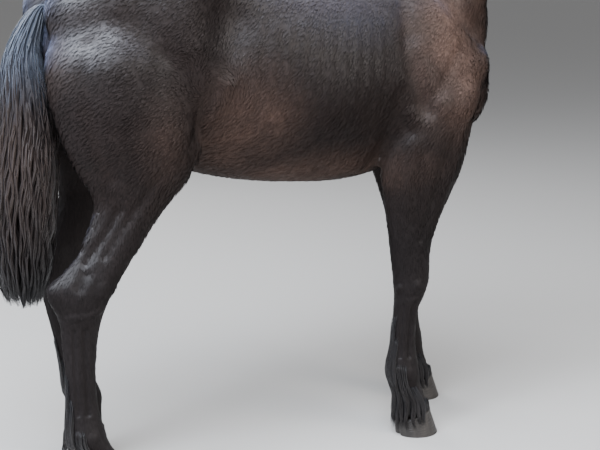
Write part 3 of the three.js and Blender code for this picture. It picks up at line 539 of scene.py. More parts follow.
drawn = drawnPoints()
along, out = headShares(drawn)
refined(skin.data, ((along > 60) & (drawn[:, 2] > 1380) & (drawn[:, 0] > 840)) | (drawn[:, 2] < 690))
drawn = drawnPoints()
along, out = headShares(drawn)
onHead = soft(along, 95, 150) * (drawn[:, 0] > 840) * (drawn[:, 2] > 1350)
onLegs = 1 - soft(drawn[:, 2], 720, 800)
drawn = laidOn(drawn, ["head"], onHead)
drawn = laidOn(drawn, [name for name in forms if "_" in name], onLegs)
setPoints(skin.data, placed(drawn))
evened(np.maximum(onHead, onLegs))
print("skin refined:", len(drawn), "points,", len(skin.data.polygons), "faces")

# sculpting: each stroke follows a path and lifts or sinks the skin beside it
# views: "side" (x, z) from the outside, "front" and "rear" (outwards from the leg's middle, z),
# "head" (along the face, out of it). Then: path, reach in mm, lift in mm.
bodyStrokes = [
    ([(352, 1470), (430, 1350), (520, 1215)], 42, 3.5),
    ([(395, 1505), (480, 1425), (548, 1340), (598, 1240)], 36, -3),
    ([(350, 1410), (342, 1300), (342, 1190), (362, 1090), (398, 1025)], 42, -6),
    ([(372, 1190), (412, 1120), (440, 1060)], 66, 8),
    ([(530, 1210), (478, 1135), (425, 1075)], 28, -2.5),
    ([(645, 1155), (650, 1150)], 60, 6),
    ([(640, 1050), (590, 1000), (545, 955)], 28, -4),
    ([(345, 1015), (350, 1000)], 36, 9),
    ([(302, 1075), (276, 965), (262, 880)], 44, -6),
    ([(215, 860), (60, 905), (-70, 975), (-170, 1075), (-215, 1180)], 38, 3),
    ([(-222, 1300), (-250, 1205)], 80, -8),
    ([(-352, 905), (-306, 960), (-268, 1040), (-246, 1130)], 32, 5),
    ([(-338, 990), (-304, 1050), (-285, 1110)], 26, -4),
    ([(-316, 1412), (-320, 1404)], 50, 6),
    ([(-318, 1400), (-342, 1300), (-354, 1180), (-350, 1060), (-335, 965)], 56, 2.5),
    ([(-612, 1240), (-628, 1170), (-620, 1080), (-592, 980), (-560, 905)], 32, -5),
    ([(-430, 1210), (-445, 1150), (-450, 1080), (-440, 990), (-420, 930)], 38, -3),
    ([(-530, 1300), (-545, 1190), (-540, 1080)], 70, 4),
    ([(-316, 950), (-318, 938)], 38, 7),
    ([(-345, 885), (-400, 822), (-452, 760), (-500, 700)], 20, 3.5),
    ([(-440, 905), (-500, 825), (-560, 745), (-590, 700)], 20, -4.5),
    ([(-545, 815), (-588, 745), (-636, 685)], 20, -7),
    ([(-596, 800), (-618, 745), (-652, 698), (-700, 655)], 14, 3),
    ([(-682, 1262), (-684, 1240)], 54, 5),
    ([(672, 1400), (715, 1480), (762, 1560), (818, 1665)], 26, -6),
    ([(590, 1370), (640, 1440), (708, 1545), (782, 1680)], 34, 4),
    ([(430, 1500), (530, 1612), (645, 1730), (760, 1840)], 30, -4),
    ([(826, 1800), (832, 1780)], 36, 8),
    ([(795, 1745), (820, 1790), (838, 1835)], 26, 4),
]
bodyStrokes += [([(x, 1275), (x - 24, 1120), (x - 48, 985)], 17, 1.5) for x in range(-140, 250, 43)]
foreStrokes = [
    ("side", [(520, 965), (502, 860), (470, 740), (450, 640)], 24, 4.5),
    ("side", [(472, 935), (450, 830), (424, 720), (405, 630)], 16, -4.5),
    ("side", [(352, 930), (348, 840), (352, 740)], 32, 4),
    ("side", [(398, 486), (398, 480)], 24, 4),
    ("side", [(402, 455), (372, 452)], 12, -2),
    ("side", [(352, 480), (350, 470)], 16, 5),
    ("side", [(392, 432), (386, 350), (383, 262)], 11, -5),
    ("side", [(362, 425), (357, 340), (354, 262)], 8, -3),
    ("side", [(386, 210), (386, 202)], 24, 3.5),
    ("side", [(348, 222), (346, 208)], 18, 4),
    ("side", [(418, 140), (424, 120)], 18, 2.5),
    ("side", [(370, 165), (384, 130)], 16, -4),
    ("front", [(-13, 500), (-14, 488)], 15, 3.5),
    ("front", [(14, 500), (15, 488)], 15, 3.5),
    ("front", [(-22, 471), (22, 471)], 8, -2.5),
    ("front", [(-14, 455), (14, 455)], 12, 2.5),
    ("front", [(0, 420), (0, 260)], 9, 2),
    ("rear", [(0, 430), (0, 260)], 9, 2.5),
    ("rear", [(-14, 218), (-14, 205)], 15, 3.5),
    ("rear", [(14, 218), (14, 205)], 15, 3.5),
]
hindStrokes = [
    ("side", [(-722, 618), (-720, 604)], 24, 3),
    ("side", [(-642, 655), (-660, 628)], 26, -5),
    ("side", [(-600, 618), (-602, 604)], 24, 3),
    ("side", [(-600, 560), (-640, 548), (-690, 545)], 13, 2.5),
    ("side", [(-560, 610), (-580, 560), (-600, 510)], 14, 3),
    ("side", [(-652, 508), (-652, 400), (-650, 280)], 11, -5),
    ("side", [(-680, 508), (-680, 400), (-676, 280)], 8, -3),
    ("side", [(-648, 210), (-646, 202)], 24, 3.5),
    ("side", [(-682, 222), (-682, 208)], 18, 4),
    ("front", [(0, 660), (0, 560), (0, 420)], 13, 2.5),
    ("rear", [(-10, 640), (-10, 560)], 12, 2),
    ("rear", [(10, 640), (10, 560)], 12, 2),
    ("rear", [(0, 500), (0, 280)], 9, 2.5),
]
headStrokes = [
    ([(232, -40), (290, -48), (350, -56)], 16, 4),
    ([(158, 12), (170, 26), (190, 33), (212, 30), (230, 18)], 21, 3.5),
    ([(118, 26), (140, 30)], 24, -4),
    ([(150, -12), (190, -24), (228, -12)], 18, 2),
    ([(215, -20), (238, -8), (262, 2)], 16, -3.5),
    ([(246, -85), (232, -135), (200, -180)], 18, -3.5),
    ([(62, -62), (88, -130), (128, -192)], 20, 4),
    ([(270, -70), (340, -80), (430, -72)], 26, -3.5),
    ([(300, 8), (390, 4), (470, 4)], 18, -4),
    ([(285, -78), (330, -50), (400, -34), (440, -22)], 6, 1.4),
    ([(260, -100), (330, -72), (400, -62)], 6, 1.2),
    ([(350, 20), (440, 18), (490, 18)], 12, 2),
]


def spine(path, count=18):
    # points evenly along a path
    path = np.asarray(path, float)
    run = np.concatenate([[0], np.cumsum(np.linalg.norm(np.diff(path, axis=0), axis=1))])
    t = np.linspace(0, run[-1], count)
    return np.stack([np.interp(t, run, path[:, k]) for k in range(path.shape[1])], 1)


def ontoSkin(tree, starts, direction, far=900.0):
    found = []
    for start in starts:
        hit = tree.ray_cast(start, direction, far)[0]
        if hit is not None:
            found.append(tuple(hit))
    return np.array(found)


def strokePoints(tree, kind, view, path, side):
    path = spine(path)
    a, b = path[:, 0], path[:, 1]
    if kind == "head":
        starts = headPlace(a, b, side * 400.0)
        return ontoSkin(tree, starts, (0, -side, 0))
    if kind == "body":
        return ontoSkin(tree, np.stack([a, 0 * a + side * 700, b], 1), (0, -side, 0))
    lead, inward = stepAt(kind, side, b)
    rows = np.array(legRows(kind, side))
    y = np.interp(-b, -rows[:, 0], rows[:, 3]) - inward
    if view == "side":
        return ontoSkin(tree, np.stack([a + lead, side * (y + 200), b], 1), (0, -side, 0), 230.0)
    middle = np.interp(-b, -rows[:, 0], (rows[:, 1] + rows[:, 2]) / 2) + lead
    way = 1 if view == "front" else -1
    return ontoSkin(tree, np.stack([middle + way * 160, side * (y + a), b], 1), (-way, 0, 0), 200.0)


def carve(drawn, facing, guide, reach, lift):
    low, high = guide.min(0) - reach, guide.max(0) + reach
    near = np.flatnonzero(((drawn > low) & (drawn < high)).all(1))
    if not len(near):
        return
    starts, steps = guide[:-1], np.diff(guide, axis=0)
    best = np.full(len(near), 1e9)
    for start, step in zip(starts, steps):
        t = np.clip((drawn[near] - start) @ step / max(step @ step, 1e-9), 0, 1)
        best = np.minimum(best, np.linalg.norm(drawn[near] - start - t[:, None] * step, axis=1))
    drawn[near] += facing[near] * (lift * hump(best, reach))[:, None]


def sculpt(strokes):
    drawn = drawnPoints()
    facing = normalsOf(skin.data)
    tree = drawnTree()
    for kind, view, path, reach, lift in strokes:
        for side in (1, -1):
            guide = strokePoints(tree, kind, view, path, side)
            if len(guide) > 1:
                carve(drawn, facing, guide, reach, lift)
    setPoints(skin.data, placed(drawn))


sculpt([("body", "side", *s) for s in bodyStrokes] + [("fore", *s) for s in foreStrokes]
       + [("hind", *s) for s in hindStrokes] + [("head", "side", *s) for s in headStrokes])

# the furrow between the breast muscles, and one along the middle of the croup
drawn, facing = drawnPoints(), normalsOf(skin.data)
for path, reach, lift in (([(700, 0, 1190), (716, 0, 1100), (700, 0, 1000)], 42, -12),
                          ([(-330, 0, 1500), (-480, 0, 1478), (-600, 0, 1415)], 40, -5),
                          ([(250, 0, 1480), (60, 0, 1446), (-150, 0, 1476)], 34, -3)):
    carve(drawn, facing, spine(path), reach, lift)
setPoints(skin.data, placed(drawn))
print("muscles, tendons and bones shaped")

# muzzle and eyes get the finest mesh, then nostrils and mouth are cut in
muzzle = {"nostril": (528, -14), "slant": headTilt + 0.3, "long": 19.0, "short": 8.5, "deep": 17.0,
          "rim": 4.2, "mouth": [(462, -44), (498, -50), (532, -51), (560, -49), (580, -45)],
          "mouthFront": (587, -43)}
eyeSize = {"place": (190, 8), "radius": 21.0, "sunk": 15.0, "slant": 0.55, "long": 19.0, "short": 11.5}


def sideOfHead(along, out, side):
    # where the head's side lies at a place in its own measure
    hit = drawnTree().ray_cast(headPlace(along, out, side * 400.0), (0, -side, 0))[0]
    return np.array(hit)


noseSpots = {side: sideOfHead(*muzzle["nostril"], side) for side in (1, -1)}
eyeSpots = {side: sideOfHead(*eyeSize["place"], side) - (0, side * eyeSize["sunk"], 0) for side in (1, -1)}
drawn = drawnPoints()
along, out = headShares(drawn)
fine = (along > 452) & (drawn[:, 0] > 900)
for spot in eyeSpots.values():
    fine |= np.linalg.norm(drawn - spot, axis=1) < 58
refined(skin.data, fine)
drawn = drawnPoints()
along, out = headShares(drawn)
evened(soft(along, 60, 120) * (drawn[:, 0] > 840) * (drawn[:, 2] > 1340), 4)


def mouthGuides():
    tree = drawnTree()
    front = headPlace(*muzzle["mouthFront"])
    halves = {side: ontoSkin(tree, headPlace(*spine(muzzle["mouth"]).T, side * 300.0), (0, -side, 0))
              for side in (1, -1)}
    return spine(np.vstack([halves[1], [front], halves[-1][::-1]]), 60)


def cutMuzzle():
    mouth = mouthGuides()
    drawn, facing = drawnPoints(), normalsOf(skin.data)
    carve(drawn, facing, mouth + faceOut * 9, 10, 1.6)
    carve(drawn, facing, mouth - faceOut * 9, 10, 1.6)
    carve(drawn, facing, mouth, 5.5, -5.0)
    carve(drawn, facing, np.array([headPlace(548, -92), headPlace(536, -96)]), 30, 5)
    for side, spot in noseSpots.items():
        slant = muzzle["slant"]
        facingOut = unit((0.45, side * 0.85, -0.1))
        longWay = unit((math.cos(slant), -side * 0.3, -math.sin(slant)))
        shortWay = unit(np.cross(facingOut, longWay))
        off = drawn - spot
        u, v, w = off @ longWay / muzzle["long"], off @ shortWay / muzzle["short"], off @ facingOut
        v = v + 0.35 * u * u - 0.15
        far = np.sqrt(u * u + v * v) + 9 * (np.abs(w) > 26)
        sink = muzzle["deep"] * np.clip(1 - far**2, 0, 1) ** 0.7
        edge = muzzle["rim"] * np.exp(-((far - 1.22) / 0.26) ** 2)
        drawn += (edge - sink)[:, None] * facingOut
    setPoints(skin.data, placed(drawn))


cutMuzzle()
print("nostrils and mouth cut in")


def eyeCentre(side):
    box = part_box("eye_left" if side > 0 else "eye_right")
    return (np.mean(np.array(box), axis=0) - shift) * 1000


def eyeAxes(side):
    # out of the eye, along the gap between the lids, and across it upwards
    facing = unit((0.36, side * 0.92, 0.08))
    along = np.array([math.cos(eyeSize["slant"]), 0.0, -math.sin(eyeSize["slant"])])
    along = unit(along - facing * (along @ facing))
    return facing, along, np.cross(facing, along) * side * -1


def openSockets():
    # the skin sinks behind each eye and swells a little round the lids
    drawn = drawnPoints()
    for side in (1, -1):
        facing, along, up = eyeAxes(side)
        off = drawn - eyeCentre(side)
        a, b, w = off @ along, off @ up, off @ facing
        far = np.sqrt((a / 19) ** 2 + (b / 13) ** 2)
        near = (w > 0) * (np.abs(w) < 40)
        sunk = near * (1 - soft(far, 0.85, 1.15))
        swell = near * 2.2 * np.exp(-((far - 1.45) / 0.3) ** 2)
        drawn += facing * (np.minimum(9.0 - w, 0) * sunk + swell)[:, None]
    setPoints(skin.data, placed(drawn))


openSockets()
print("eye sockets opened")

# materials: a black coat gone brown where the sun reaches, long hair, horn, eye
# the coat's specular and sheen ranges are driven by a painted sheen share that is high where the skin faces
# up; the bluish sheen tint stands in for a reflection of the sky
coatLook = {"black": (0.0098, 0.0076, 0.0076), "brown": (0.130, 0.080, 0.062),
            "dust": (0.0165, 0.0130, 0.0130), "rough": (0.48, 0.64), "paintedSheen": (0.10, 0.90),
            "sheen": (0.0, 0.66), "sheenRough": 0.5, "sheenTint": (0.56, 0.65, 1.0)}
# long hair: the blue colour is a painted sheen, mixed into the black where the painted sheen share is high
hairLook = {"black": (0.0078, 0.0068, 0.0072), "paintedSheenBlue": (0.012, 0.016, 0.026),
            "brown": (0.054, 0.035, 0.028), "rough": 0.42, "sheen": (0.02, 0.3),
            "sheenTint": (0.66, 0.78, 1.0)}
hornLook = {"dark": (0.016, 0.014, 0.0135), "pale": (0.042, 0.036, 0.032), "streak": (0.085, 0.072, 0.062),
            "rough": (0.42, 0.62)}
eyeLook = {"deep": (0.010, 0.005, 0.003), "brown": (0.026, 0.012, 0.006), "pupil": (0.003, 0.003, 0.005),
           "rough": 0.09}
bareLook = {"dark": (0.006, 0.005, 0.005), "pale": (0.013, 0.011, 0.011), "rough": 0.52, "shine": 0.2}


class Nodes:
    # short words for a material's nodes and the wires between them
    def __init__(self, name, **sockets):
        self.material = bpy.data.materials.new(name)
        self.material.use_nodes = True
        self.tree = self.material.node_tree
        self.shader = self.tree.nodes["Principled BSDF"]
        for socket, value in sockets.items():
            self.shader.inputs[socket.replace("_", " ")].default_value = value

    def add(self, kind, **values):
        node = self.tree.nodes.new(kind)
        for key, value in values.items():
            setattr(node, key, value)
        return node

    def wire(self, source, target):
        self.tree.links.new(source, target)

    def attribute(self, name):
        return self.add("ShaderNodeAttribute", attribute_name=name).outputs["Fac"]

    def place(self):
        return self.add("ShaderNodeTexCoord").outputs["Object"]

    def noise(self, scale, detail=3.0, rough=0.6, stretch=None):
        node = self.add("ShaderNodeTexNoise")
        node.inputs["Scale"].default_value = scale
        node.inputs["Detail"].default_value = detail
        node.inputs["Roughness"].default_value = rough
        source = self.place()
        if stretch:
            mapping = self.add("ShaderNodeMapping")
            mapping.inputs["Scale"].default_value = stretch
            self.wire(source, mapping.inputs["Vector"])
            source = mapping.outputs["Vector"]
        self.wire(source, node.inputs["Vector"])
        return node.outputs["Fac"]

    def ramp(self, source, low, high, outLow=0.0, outHigh=1.0):
        node = self.add("ShaderNodeMapRange", clamp=True)
        sockets = ("From Min", "From Max", "To Min", "To Max")
        for socket, value in zip(sockets, (low, high, outLow, outHigh)):
            node.inputs[socket].default_value = value
        self.wire(source, node.inputs["Value"])
        return node.outputs["Result"]

    def math(self, operation, a, b):
        node = self.add("ShaderNodeMath", operation=operation)
        for socket, value in zip(node.inputs, (a, b)):
            if isinstance(value, (int, float)):
                socket.default_value = value
            else:
                self.wire(value, socket)
        return node.outputs[0]

    def mix(self, share, a, b):
        node = self.add("ShaderNodeMix", data_type="RGBA")
        for socket, value in ((node.inputs["Factor"], share), (node.inputs[6], a), (node.inputs[7], b)):
            if isinstance(value, tuple):
                socket.default_value = (*value, 1)
            elif isinstance(value, float):
                socket.default_value = value
            else:
                self.wire(value, socket)
        return node.outputs[2]

    def bump(self, height, strength, distance, below=None):
        node = self.add("ShaderNodeBump")
        node.inputs["Strength"].default_value = strength
        node.inputs["Distance"].default_value = distance
        self.wire(height, node.inputs["Height"])
        if below:
            self.wire(below, node.inputs["Normal"])
        return node.outputs["Normal"]

    def paint(self, color=None, rough=None, normal=None):
        for socket, source in (("Base Color", color), ("Roughness", rough), ("Normal", normal)):
            if source is not None:
                self.wire(source, self.shader.inputs[socket])
        return self.material


def coatMaterial():
    n = Nodes("coat", Sheen_Roughness=coatLook["sheenRough"], Sheen_Tint=(*coatLook["sheenTint"], 1))
    # painted sheen: specular level and sheen weight rise where the painted sheen share is high, on surfaces
    # that face up
    n.wire(n.ramp(n.attribute("paintedSheen"), 0, 1, *coatLook["paintedSheen"]), n.shader.inputs["Specular IOR Level"])
    n.wire(n.ramp(n.attribute("paintedSheen"), 0.35, 1, *coatLook["sheen"]), n.shader.inputs["Sheen Weight"])
    patches = n.ramp(n.noise(7.0, 4.0), 0.3, 0.7, 0.55, 1.25)
    sun = n.math("MULTIPLY", n.attribute("sun"), patches)
    dusty = n.ramp(n.noise(2.4, 3.0), 0.35, 0.75)
    color = n.mix(dusty, coatLook["black"], coatLook["dust"])
    color = n.mix(sun, color, coatLook["brown"])
    hairs = n.ramp(n.noise(260.0, 2.0, 0.7, (1, 1, 0.28)), 0.3, 0.72, 0.72, 1.22)
    bright = n.add("ShaderNodeVectorMath", operation="SCALE")
    n.wire(color, bright.inputs[0])
    n.wire(hairs, bright.inputs["Scale"])
    fine = n.bump(n.noise(420.0, 2.0, 0.6, (1, 1, 0.25)), 0.25, 0.0010)
    broad = n.bump(n.noise(30.0, 2.0), 0.12, 0.004, fine)
    rough = n.ramp(n.noise(14.0, 3.0), 0.3, 0.7, *coatLook["rough"])
    return n.paint(bright.outputs[0], rough, broad)


def hairMaterial():
    n = Nodes("longHair", Roughness=hairLook["rough"], Sheen_Tint=(*hairLook["sheenTint"], 1),
              Specular_IOR_Level=0.5)
    # painted sheen: sheen weight rises and the base colour turns blue where the painted sheen share is high
    n.wire(n.ramp(n.attribute("paintedSheen"), 0, 1, *hairLook["sheen"]), n.shader.inputs["Sheen Weight"])
    faded = n.math("MULTIPLY", n.attribute("sun"), n.ramp(n.attribute("tone"), 0.1, 0.95, 0.6, 0.95))
    color = n.mix(n.attribute("paintedSheen"), hairLook["black"], hairLook["paintedSheenBlue"])
    color = n.mix(faded, color, hairLook["brown"])
    grain = n.bump(n.noise(300.0, 2.0, 0.7, (1, 1, 0.12)), 0.4, 0.0012)
    return n.paint(color, None, grain)


def hornMaterial():
    n = Nodes("horn")
    bands = n.ramp(n.noise(26.0, 4.0, 0.65, (0.4, 0.4, 5.0)), 0.3, 0.7)
    streaks = n.ramp(n.noise(60.0, 3.0, 0.6, (1, 1, 0.1)), 0.35, 0.7)
    color = n.mix(bands, hornLook["dark"], hornLook["pale"])
    color = n.mix(n.math("MULTIPLY", streaks, 0.35), color, hornLook["streak"])
    height = n.math("ADD", bands, n.math("MULTIPLY", streaks, 0.4))
    return n.paint(color, n.ramp(bands, 0, 1, *hornLook["rough"]), n.bump(height, 0.3, 0.0014))


def eyeMaterial():
    n = Nodes("eye", Roughness=eyeLook["rough"], Coat_Weight=0.8, Coat_Roughness=0.03)
    iris = n.mix(n.noise(90.0, 3.0), eyeLook["deep"], eyeLook["brown"])
    return n.paint(n.mix(n.ramp(n.attribute("ring"), 0.0, 1.0), iris, eyeLook["pupil"]))


def bareSkinMaterial():
    # hairless dark skin of the lids
    n = Nodes("bareSkin", Roughness=bareLook["rough"], Specular_IOR_Level=bareLook["shine"])
    color = n.mix(n.noise(60.0, 4.0), bareLook["dark"], bareLook["pale"])
    return n.paint(color, None, n.bump(n.noise(260.0, 3.0), 0.35, 0.001))


coat = coatMaterial()
longHair = hairMaterial()
horn = hornMaterial()
eyeGlass = eyeMaterial()
bareSkin = bareSkinMaterial()
skin.data.materials.append(coat)

# where the sun has turned the black coat brown: x, z, reach along x and z, share
sunny = [(500, 1240, 135, 200, 0.95), (520, 1080, 130, 130, 0.75), (-170, 1010, 130, 150, 0.62),
         (60, 860, 330, 70, 0.5), (-420, 1010, 90, 130, 0.25), (150, 1380, 380, 90, 0.2),
         (640, 1190, 60, 120, 0.5), (620, 1400, 130, 170, 0.6), (-690, 1200, 50, 110, 0.2)]


def sunAt(drawn):
    sun = np.full(len(drawn), 0.06)
    for x, z, reachX, reachZ, share in sunny:
        offX, offZ = (drawn[:, 0] - x) / reachX, (drawn[:, 2] - z) / reachZ
        sun = np.maximum(sun, share * np.exp(-offX**2 - offZ**2))
    along, out = headShares(drawn)
    muzzle = 0.5 * np.exp(-((along - 520) / 90) ** 2) * (np.abs(out + 40) < 130)
    inHead = (drawn[:, 0] > 800) & (drawn[:, 2] > 1300)
    sun = np.where(inHead, np.maximum(sun, muzzle), sun)
    return sun * np.clip((drawn[:, 2] - 620) / 200, 0.05, 1)


def shade(mesh, name, values):
    layer = mesh.attributes.new(name, "FLOAT", "POINT")
    layer.data.foreach_set("value", np.asarray(values, np.float32))


def paintedSheenAt(drawn, facing):
    # painted sheen: the coat shines where it faces up towards the light, and in a painted rim along the rear
    # of the haunch; sides, belly, legs, head and shoulder stay duller
    rear = 0.35 * (1 - soft(drawn[:, 0], -640, -520)) * soft(drawn[:, 2], 1080, 1250)
    high = 0.3 + 0.7 * soft(drawn[:, 2], 560, 950)
    head = 0.88 * soft(drawn[:, 0], 800, 880) * soft(drawn[:, 2], 1300, 1400)
    arm = 1 - 0.6 * np.exp(-((drawn[:, 0] - 530) / 160) ** 2 - ((drawn[:, 2] - 1170) / 220) ** 2)
    return np.clip(soft(facing[:, 2], -0.2, 0.85) + rear, 0, 1) * (high - head) * arm


shade(skin.data, "sun", sunAt(drawnPoints()))
# painted sheen share of the skin, high where it faces up
shade(skin.data, "paintedSheen", paintedSheenAt(drawnPoints(), normalsOf(skin.data)))

# an unwrap of the body's forms: a strand of hair takes its root's place on it
islands = {"trunk": (0.01, 0.01, 0.47, 0.47), "neck": (0.51, 0.01, 0.22, 0.47),
           "head": (0.76, 0.01, 0.22, 0.47),
           "fore_left": (0.01, 0.51, 0.22, 0.47), "fore_right": (0.26, 0.51, 0.22, 0.47),
           "hind_left": (0.51, 0.51, 0.22, 0.47), "hind_right": (0.76, 0.51, 0.22, 0.47)}
patch = 0.003


def unwrapOfForms():
    spots, flat = [], []
    for name, rings in forms.items():
        left, low, wide, high = islands[name]
        some = placed(rings[::2, ::2])
        count, sides = some.shape[:2]
        u = left + wide * np.arange(count)[:, None] / (count - 1) + np.zeros((1, sides))
        v = low + high * np.arange(sides)[None, :] / sides + np.zeros((count, 1))
        spots.append(some.reshape(-1, 3))
        flat.append(np.stack([u, v], -1).reshape(-1, 2))
    spots, flat = np.vstack(spots), np.vstack(flat)
    tree = KDTree(len(spots))
    for k, spot in enumerate(spots.tolist()):
        tree.insert(spot, k)
    tree.balance()
    return tree, flat


formTree, formFlat = unwrapOfForms()


def flatPlace(roots):
    # where roots, in metres, lie on the unwrap
    return formFlat[[formTree.find(root)[1] for root in roots.tolist()]]


def meshFrom(name, where, quads, triangles, flat=None):
    mesh = bpy.data.meshes.new(name)
    loops = np.concatenate([np.ravel(quads), np.ravel(triangles)]).astype(np.int32)
    fours, threes = len(quads), len(triangles)
    starts = np.concatenate([np.arange(fours) * 4, 4 * fours + np.arange(threes) * 3]).astype(np.int32)
    mesh.vertices.add(len(where))
    mesh.vertices.foreach_set("co", np.asarray(where, np.float32).ravel())
    mesh.loops.add(len(loops))
    mesh.loops.foreach_set("vertex_index", loops)
    mesh.polygons.add(len(starts))
    mesh.polygons.foreach_set("loop_start", starts)
    if flat is not None:
        layer = mesh.uv_layers.new(name="OFBake")
        layer.uv.foreach_set("vector", flat[loops].astype(np.float32).ravel())
    mesh.update(calc_edges=True)
    mesh.shade_smooth()
    return inScene(name, mesh)


# strands: closed three-sided spikes along lines, wide below the root and thin at the tip
strandShape = ([0, 0.2, 0.55, 0.85, 1], [0.35, 0.95, 1.0, 0.6, 0.1])


def strandMesh(name, lines, across, widths, sun, tone, paintedSheen=0.0, flatness=0.5):
    # lines: strand, ring, xyz in the drawing's millimetres; across: which way the width runs
    count, rings = lines.shape[:2]
    t = np.linspace(0, 1, rings)
    along = unit(np.gradient(lines, axis=1))
    out = unit(np.cross(across, along))
    beside = np.cross(along, out)
    half = 0.5 * widths[:, None, None] * np.interp(t, *strandShape)[None, :, None]
    corners = [lines + beside * half, lines + out * half * 2 * flatness, lines - beside * half]
    where = placed(np.stack(corners, 2).reshape(-1, 3))
    first = (np.arange(count) * rings * 3)[:, None, None]
    ring = (np.arange(rings - 1) * 3)[None, :, None]
    k = np.arange(3)[None, None, :]
    here = first + ring + k
    nearby = first + ring + (k + 1) % 3
    quads = np.stack([here, nearby, nearby + 3, here + 3], -1).reshape(-1, 4)
    base = np.arange(count)[:, None] * rings * 3
    triangles = np.vstack([base + (2, 1, 0), base + (rings - 1) * 3 + (0, 1, 2)])
    roots = flatPlace(placed(lines[:, 1]))
    step = np.stack(np.broadcast_arrays(np.array([-0.5, 0, 0.5])[None, :] * patch, t[:, None] * patch), -1)
    flat = (roots[:, None, None, :] + step[None]).reshape(-1, 2)
    made = meshFrom(name, where, quads, triangles, flat)
    spread = np.ones((1, rings, 3))
    shade(made.data, "sun", (np.asarray(sun).reshape(count, -1, 1) * spread).ravel())
    shade(made.data, "tone", (tone[:, None, None] * spread).ravel())
    # painted sheen share of each strand, read by the hair's colour and sheen
    paintedSheen = np.broadcast_to(paintedSheen, (count, rings))[..., None]
    shade(made.data, "paintedSheen", (paintedSheen * spread).ravel())
    made.data.materials.append(longHair)
    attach(made, "root")
    return made


def gathered(rng, count, clumps, low=0.0, high=1.0):
    # each strand's own place and the middle of its clump
    place = np.sort(rng.uniform(low, high, count))
    middles = np.sort(low + (high - low) * (np.arange(clumps) + rng.uniform(0.15, 0.85, clumps)) / clumps)
    nearest = np.abs(place[:, None] - middles[None, :]).argmin(1)
    return place, middles[nearest], nearest


tree = BVHTree.FromPolygons(pointsOf(skin.data).tolist(), [tuple(p.vertices) for p in skin.data.polygons])


def castMap(start, rowStep, columnStep, rows, columns, direction):
    # distance from a plane of points to the skin, sampled on a grid of rows and columns
    distance = np.full((rows, columns), np.nan)
    for i in range(rows):
        for k in range(columns):
            hit = tree.ray_cast(placed(start + i * rowStep + k * columnStep), direction, 2.0)
            if hit[0] is not None:
                distance[i, k] = hit[3] * 1000
    return distance


def sampled(grid, i, k):
    i = np.clip(i, 0, grid.shape[0] - 1.001)
    k = np.clip(k, 0, grid.shape[1] - 1.001)
    a, b = i.astype(int), k.astype(int)
    u, v = i - a, k - b
    return (grid[a, b] * (1 - u) * (1 - v) + grid[a + 1, b] * u * (1 - v)
            + grid[a, b + 1] * (1 - u) * v + grid[a + 1, b + 1] * u * v)


def sideReach(side, low=(230, 1060), size=(760, 920), step=8.0):
    # how far the skin reaches to one side over a place (x, z) of neck and shoulder
    far = 600.0
    rows, columns = int(size[0] / step), int(size[1] / step)
    start = np.array([low[0], side * far, low[1]])
    grid = castMap(start, np.array([step, 0, 0]), np.array([0, 0, step]), rows, columns, (0, -side, 0))
    grid = np.where(np.isnan(grid), 0.0, far - grid)
    return lambda x, z: sampled(grid, (x - low[0]) / step, (z - low[1]) / step)

# mane: from the crest down both sides, fuller and longer on the left
mane = {"from": 0.7, "to": 6.8, "drop": 430, "rightEnd": 1356, "rings": 11, "clumps": 30,
        "strands": (2000, 1500), "width": (3.2, 6.0), "crimp": (5.0, 118.0), "lift": 20}


def crestTop(low=300, high=900, step=8.0):
    # height of the skin along the middle of the neck
    x = np.arange(low, high, step)
    grid = castMap(np.array([low, 0.0, 2300.0]), np.array([step, 0, 0]), np.zeros(3), len(x), 1, (0, 0, -1))
    return lambda places: np.interp(places, x, 2300 - grid[:, 0])


crestHeight = crestTop()


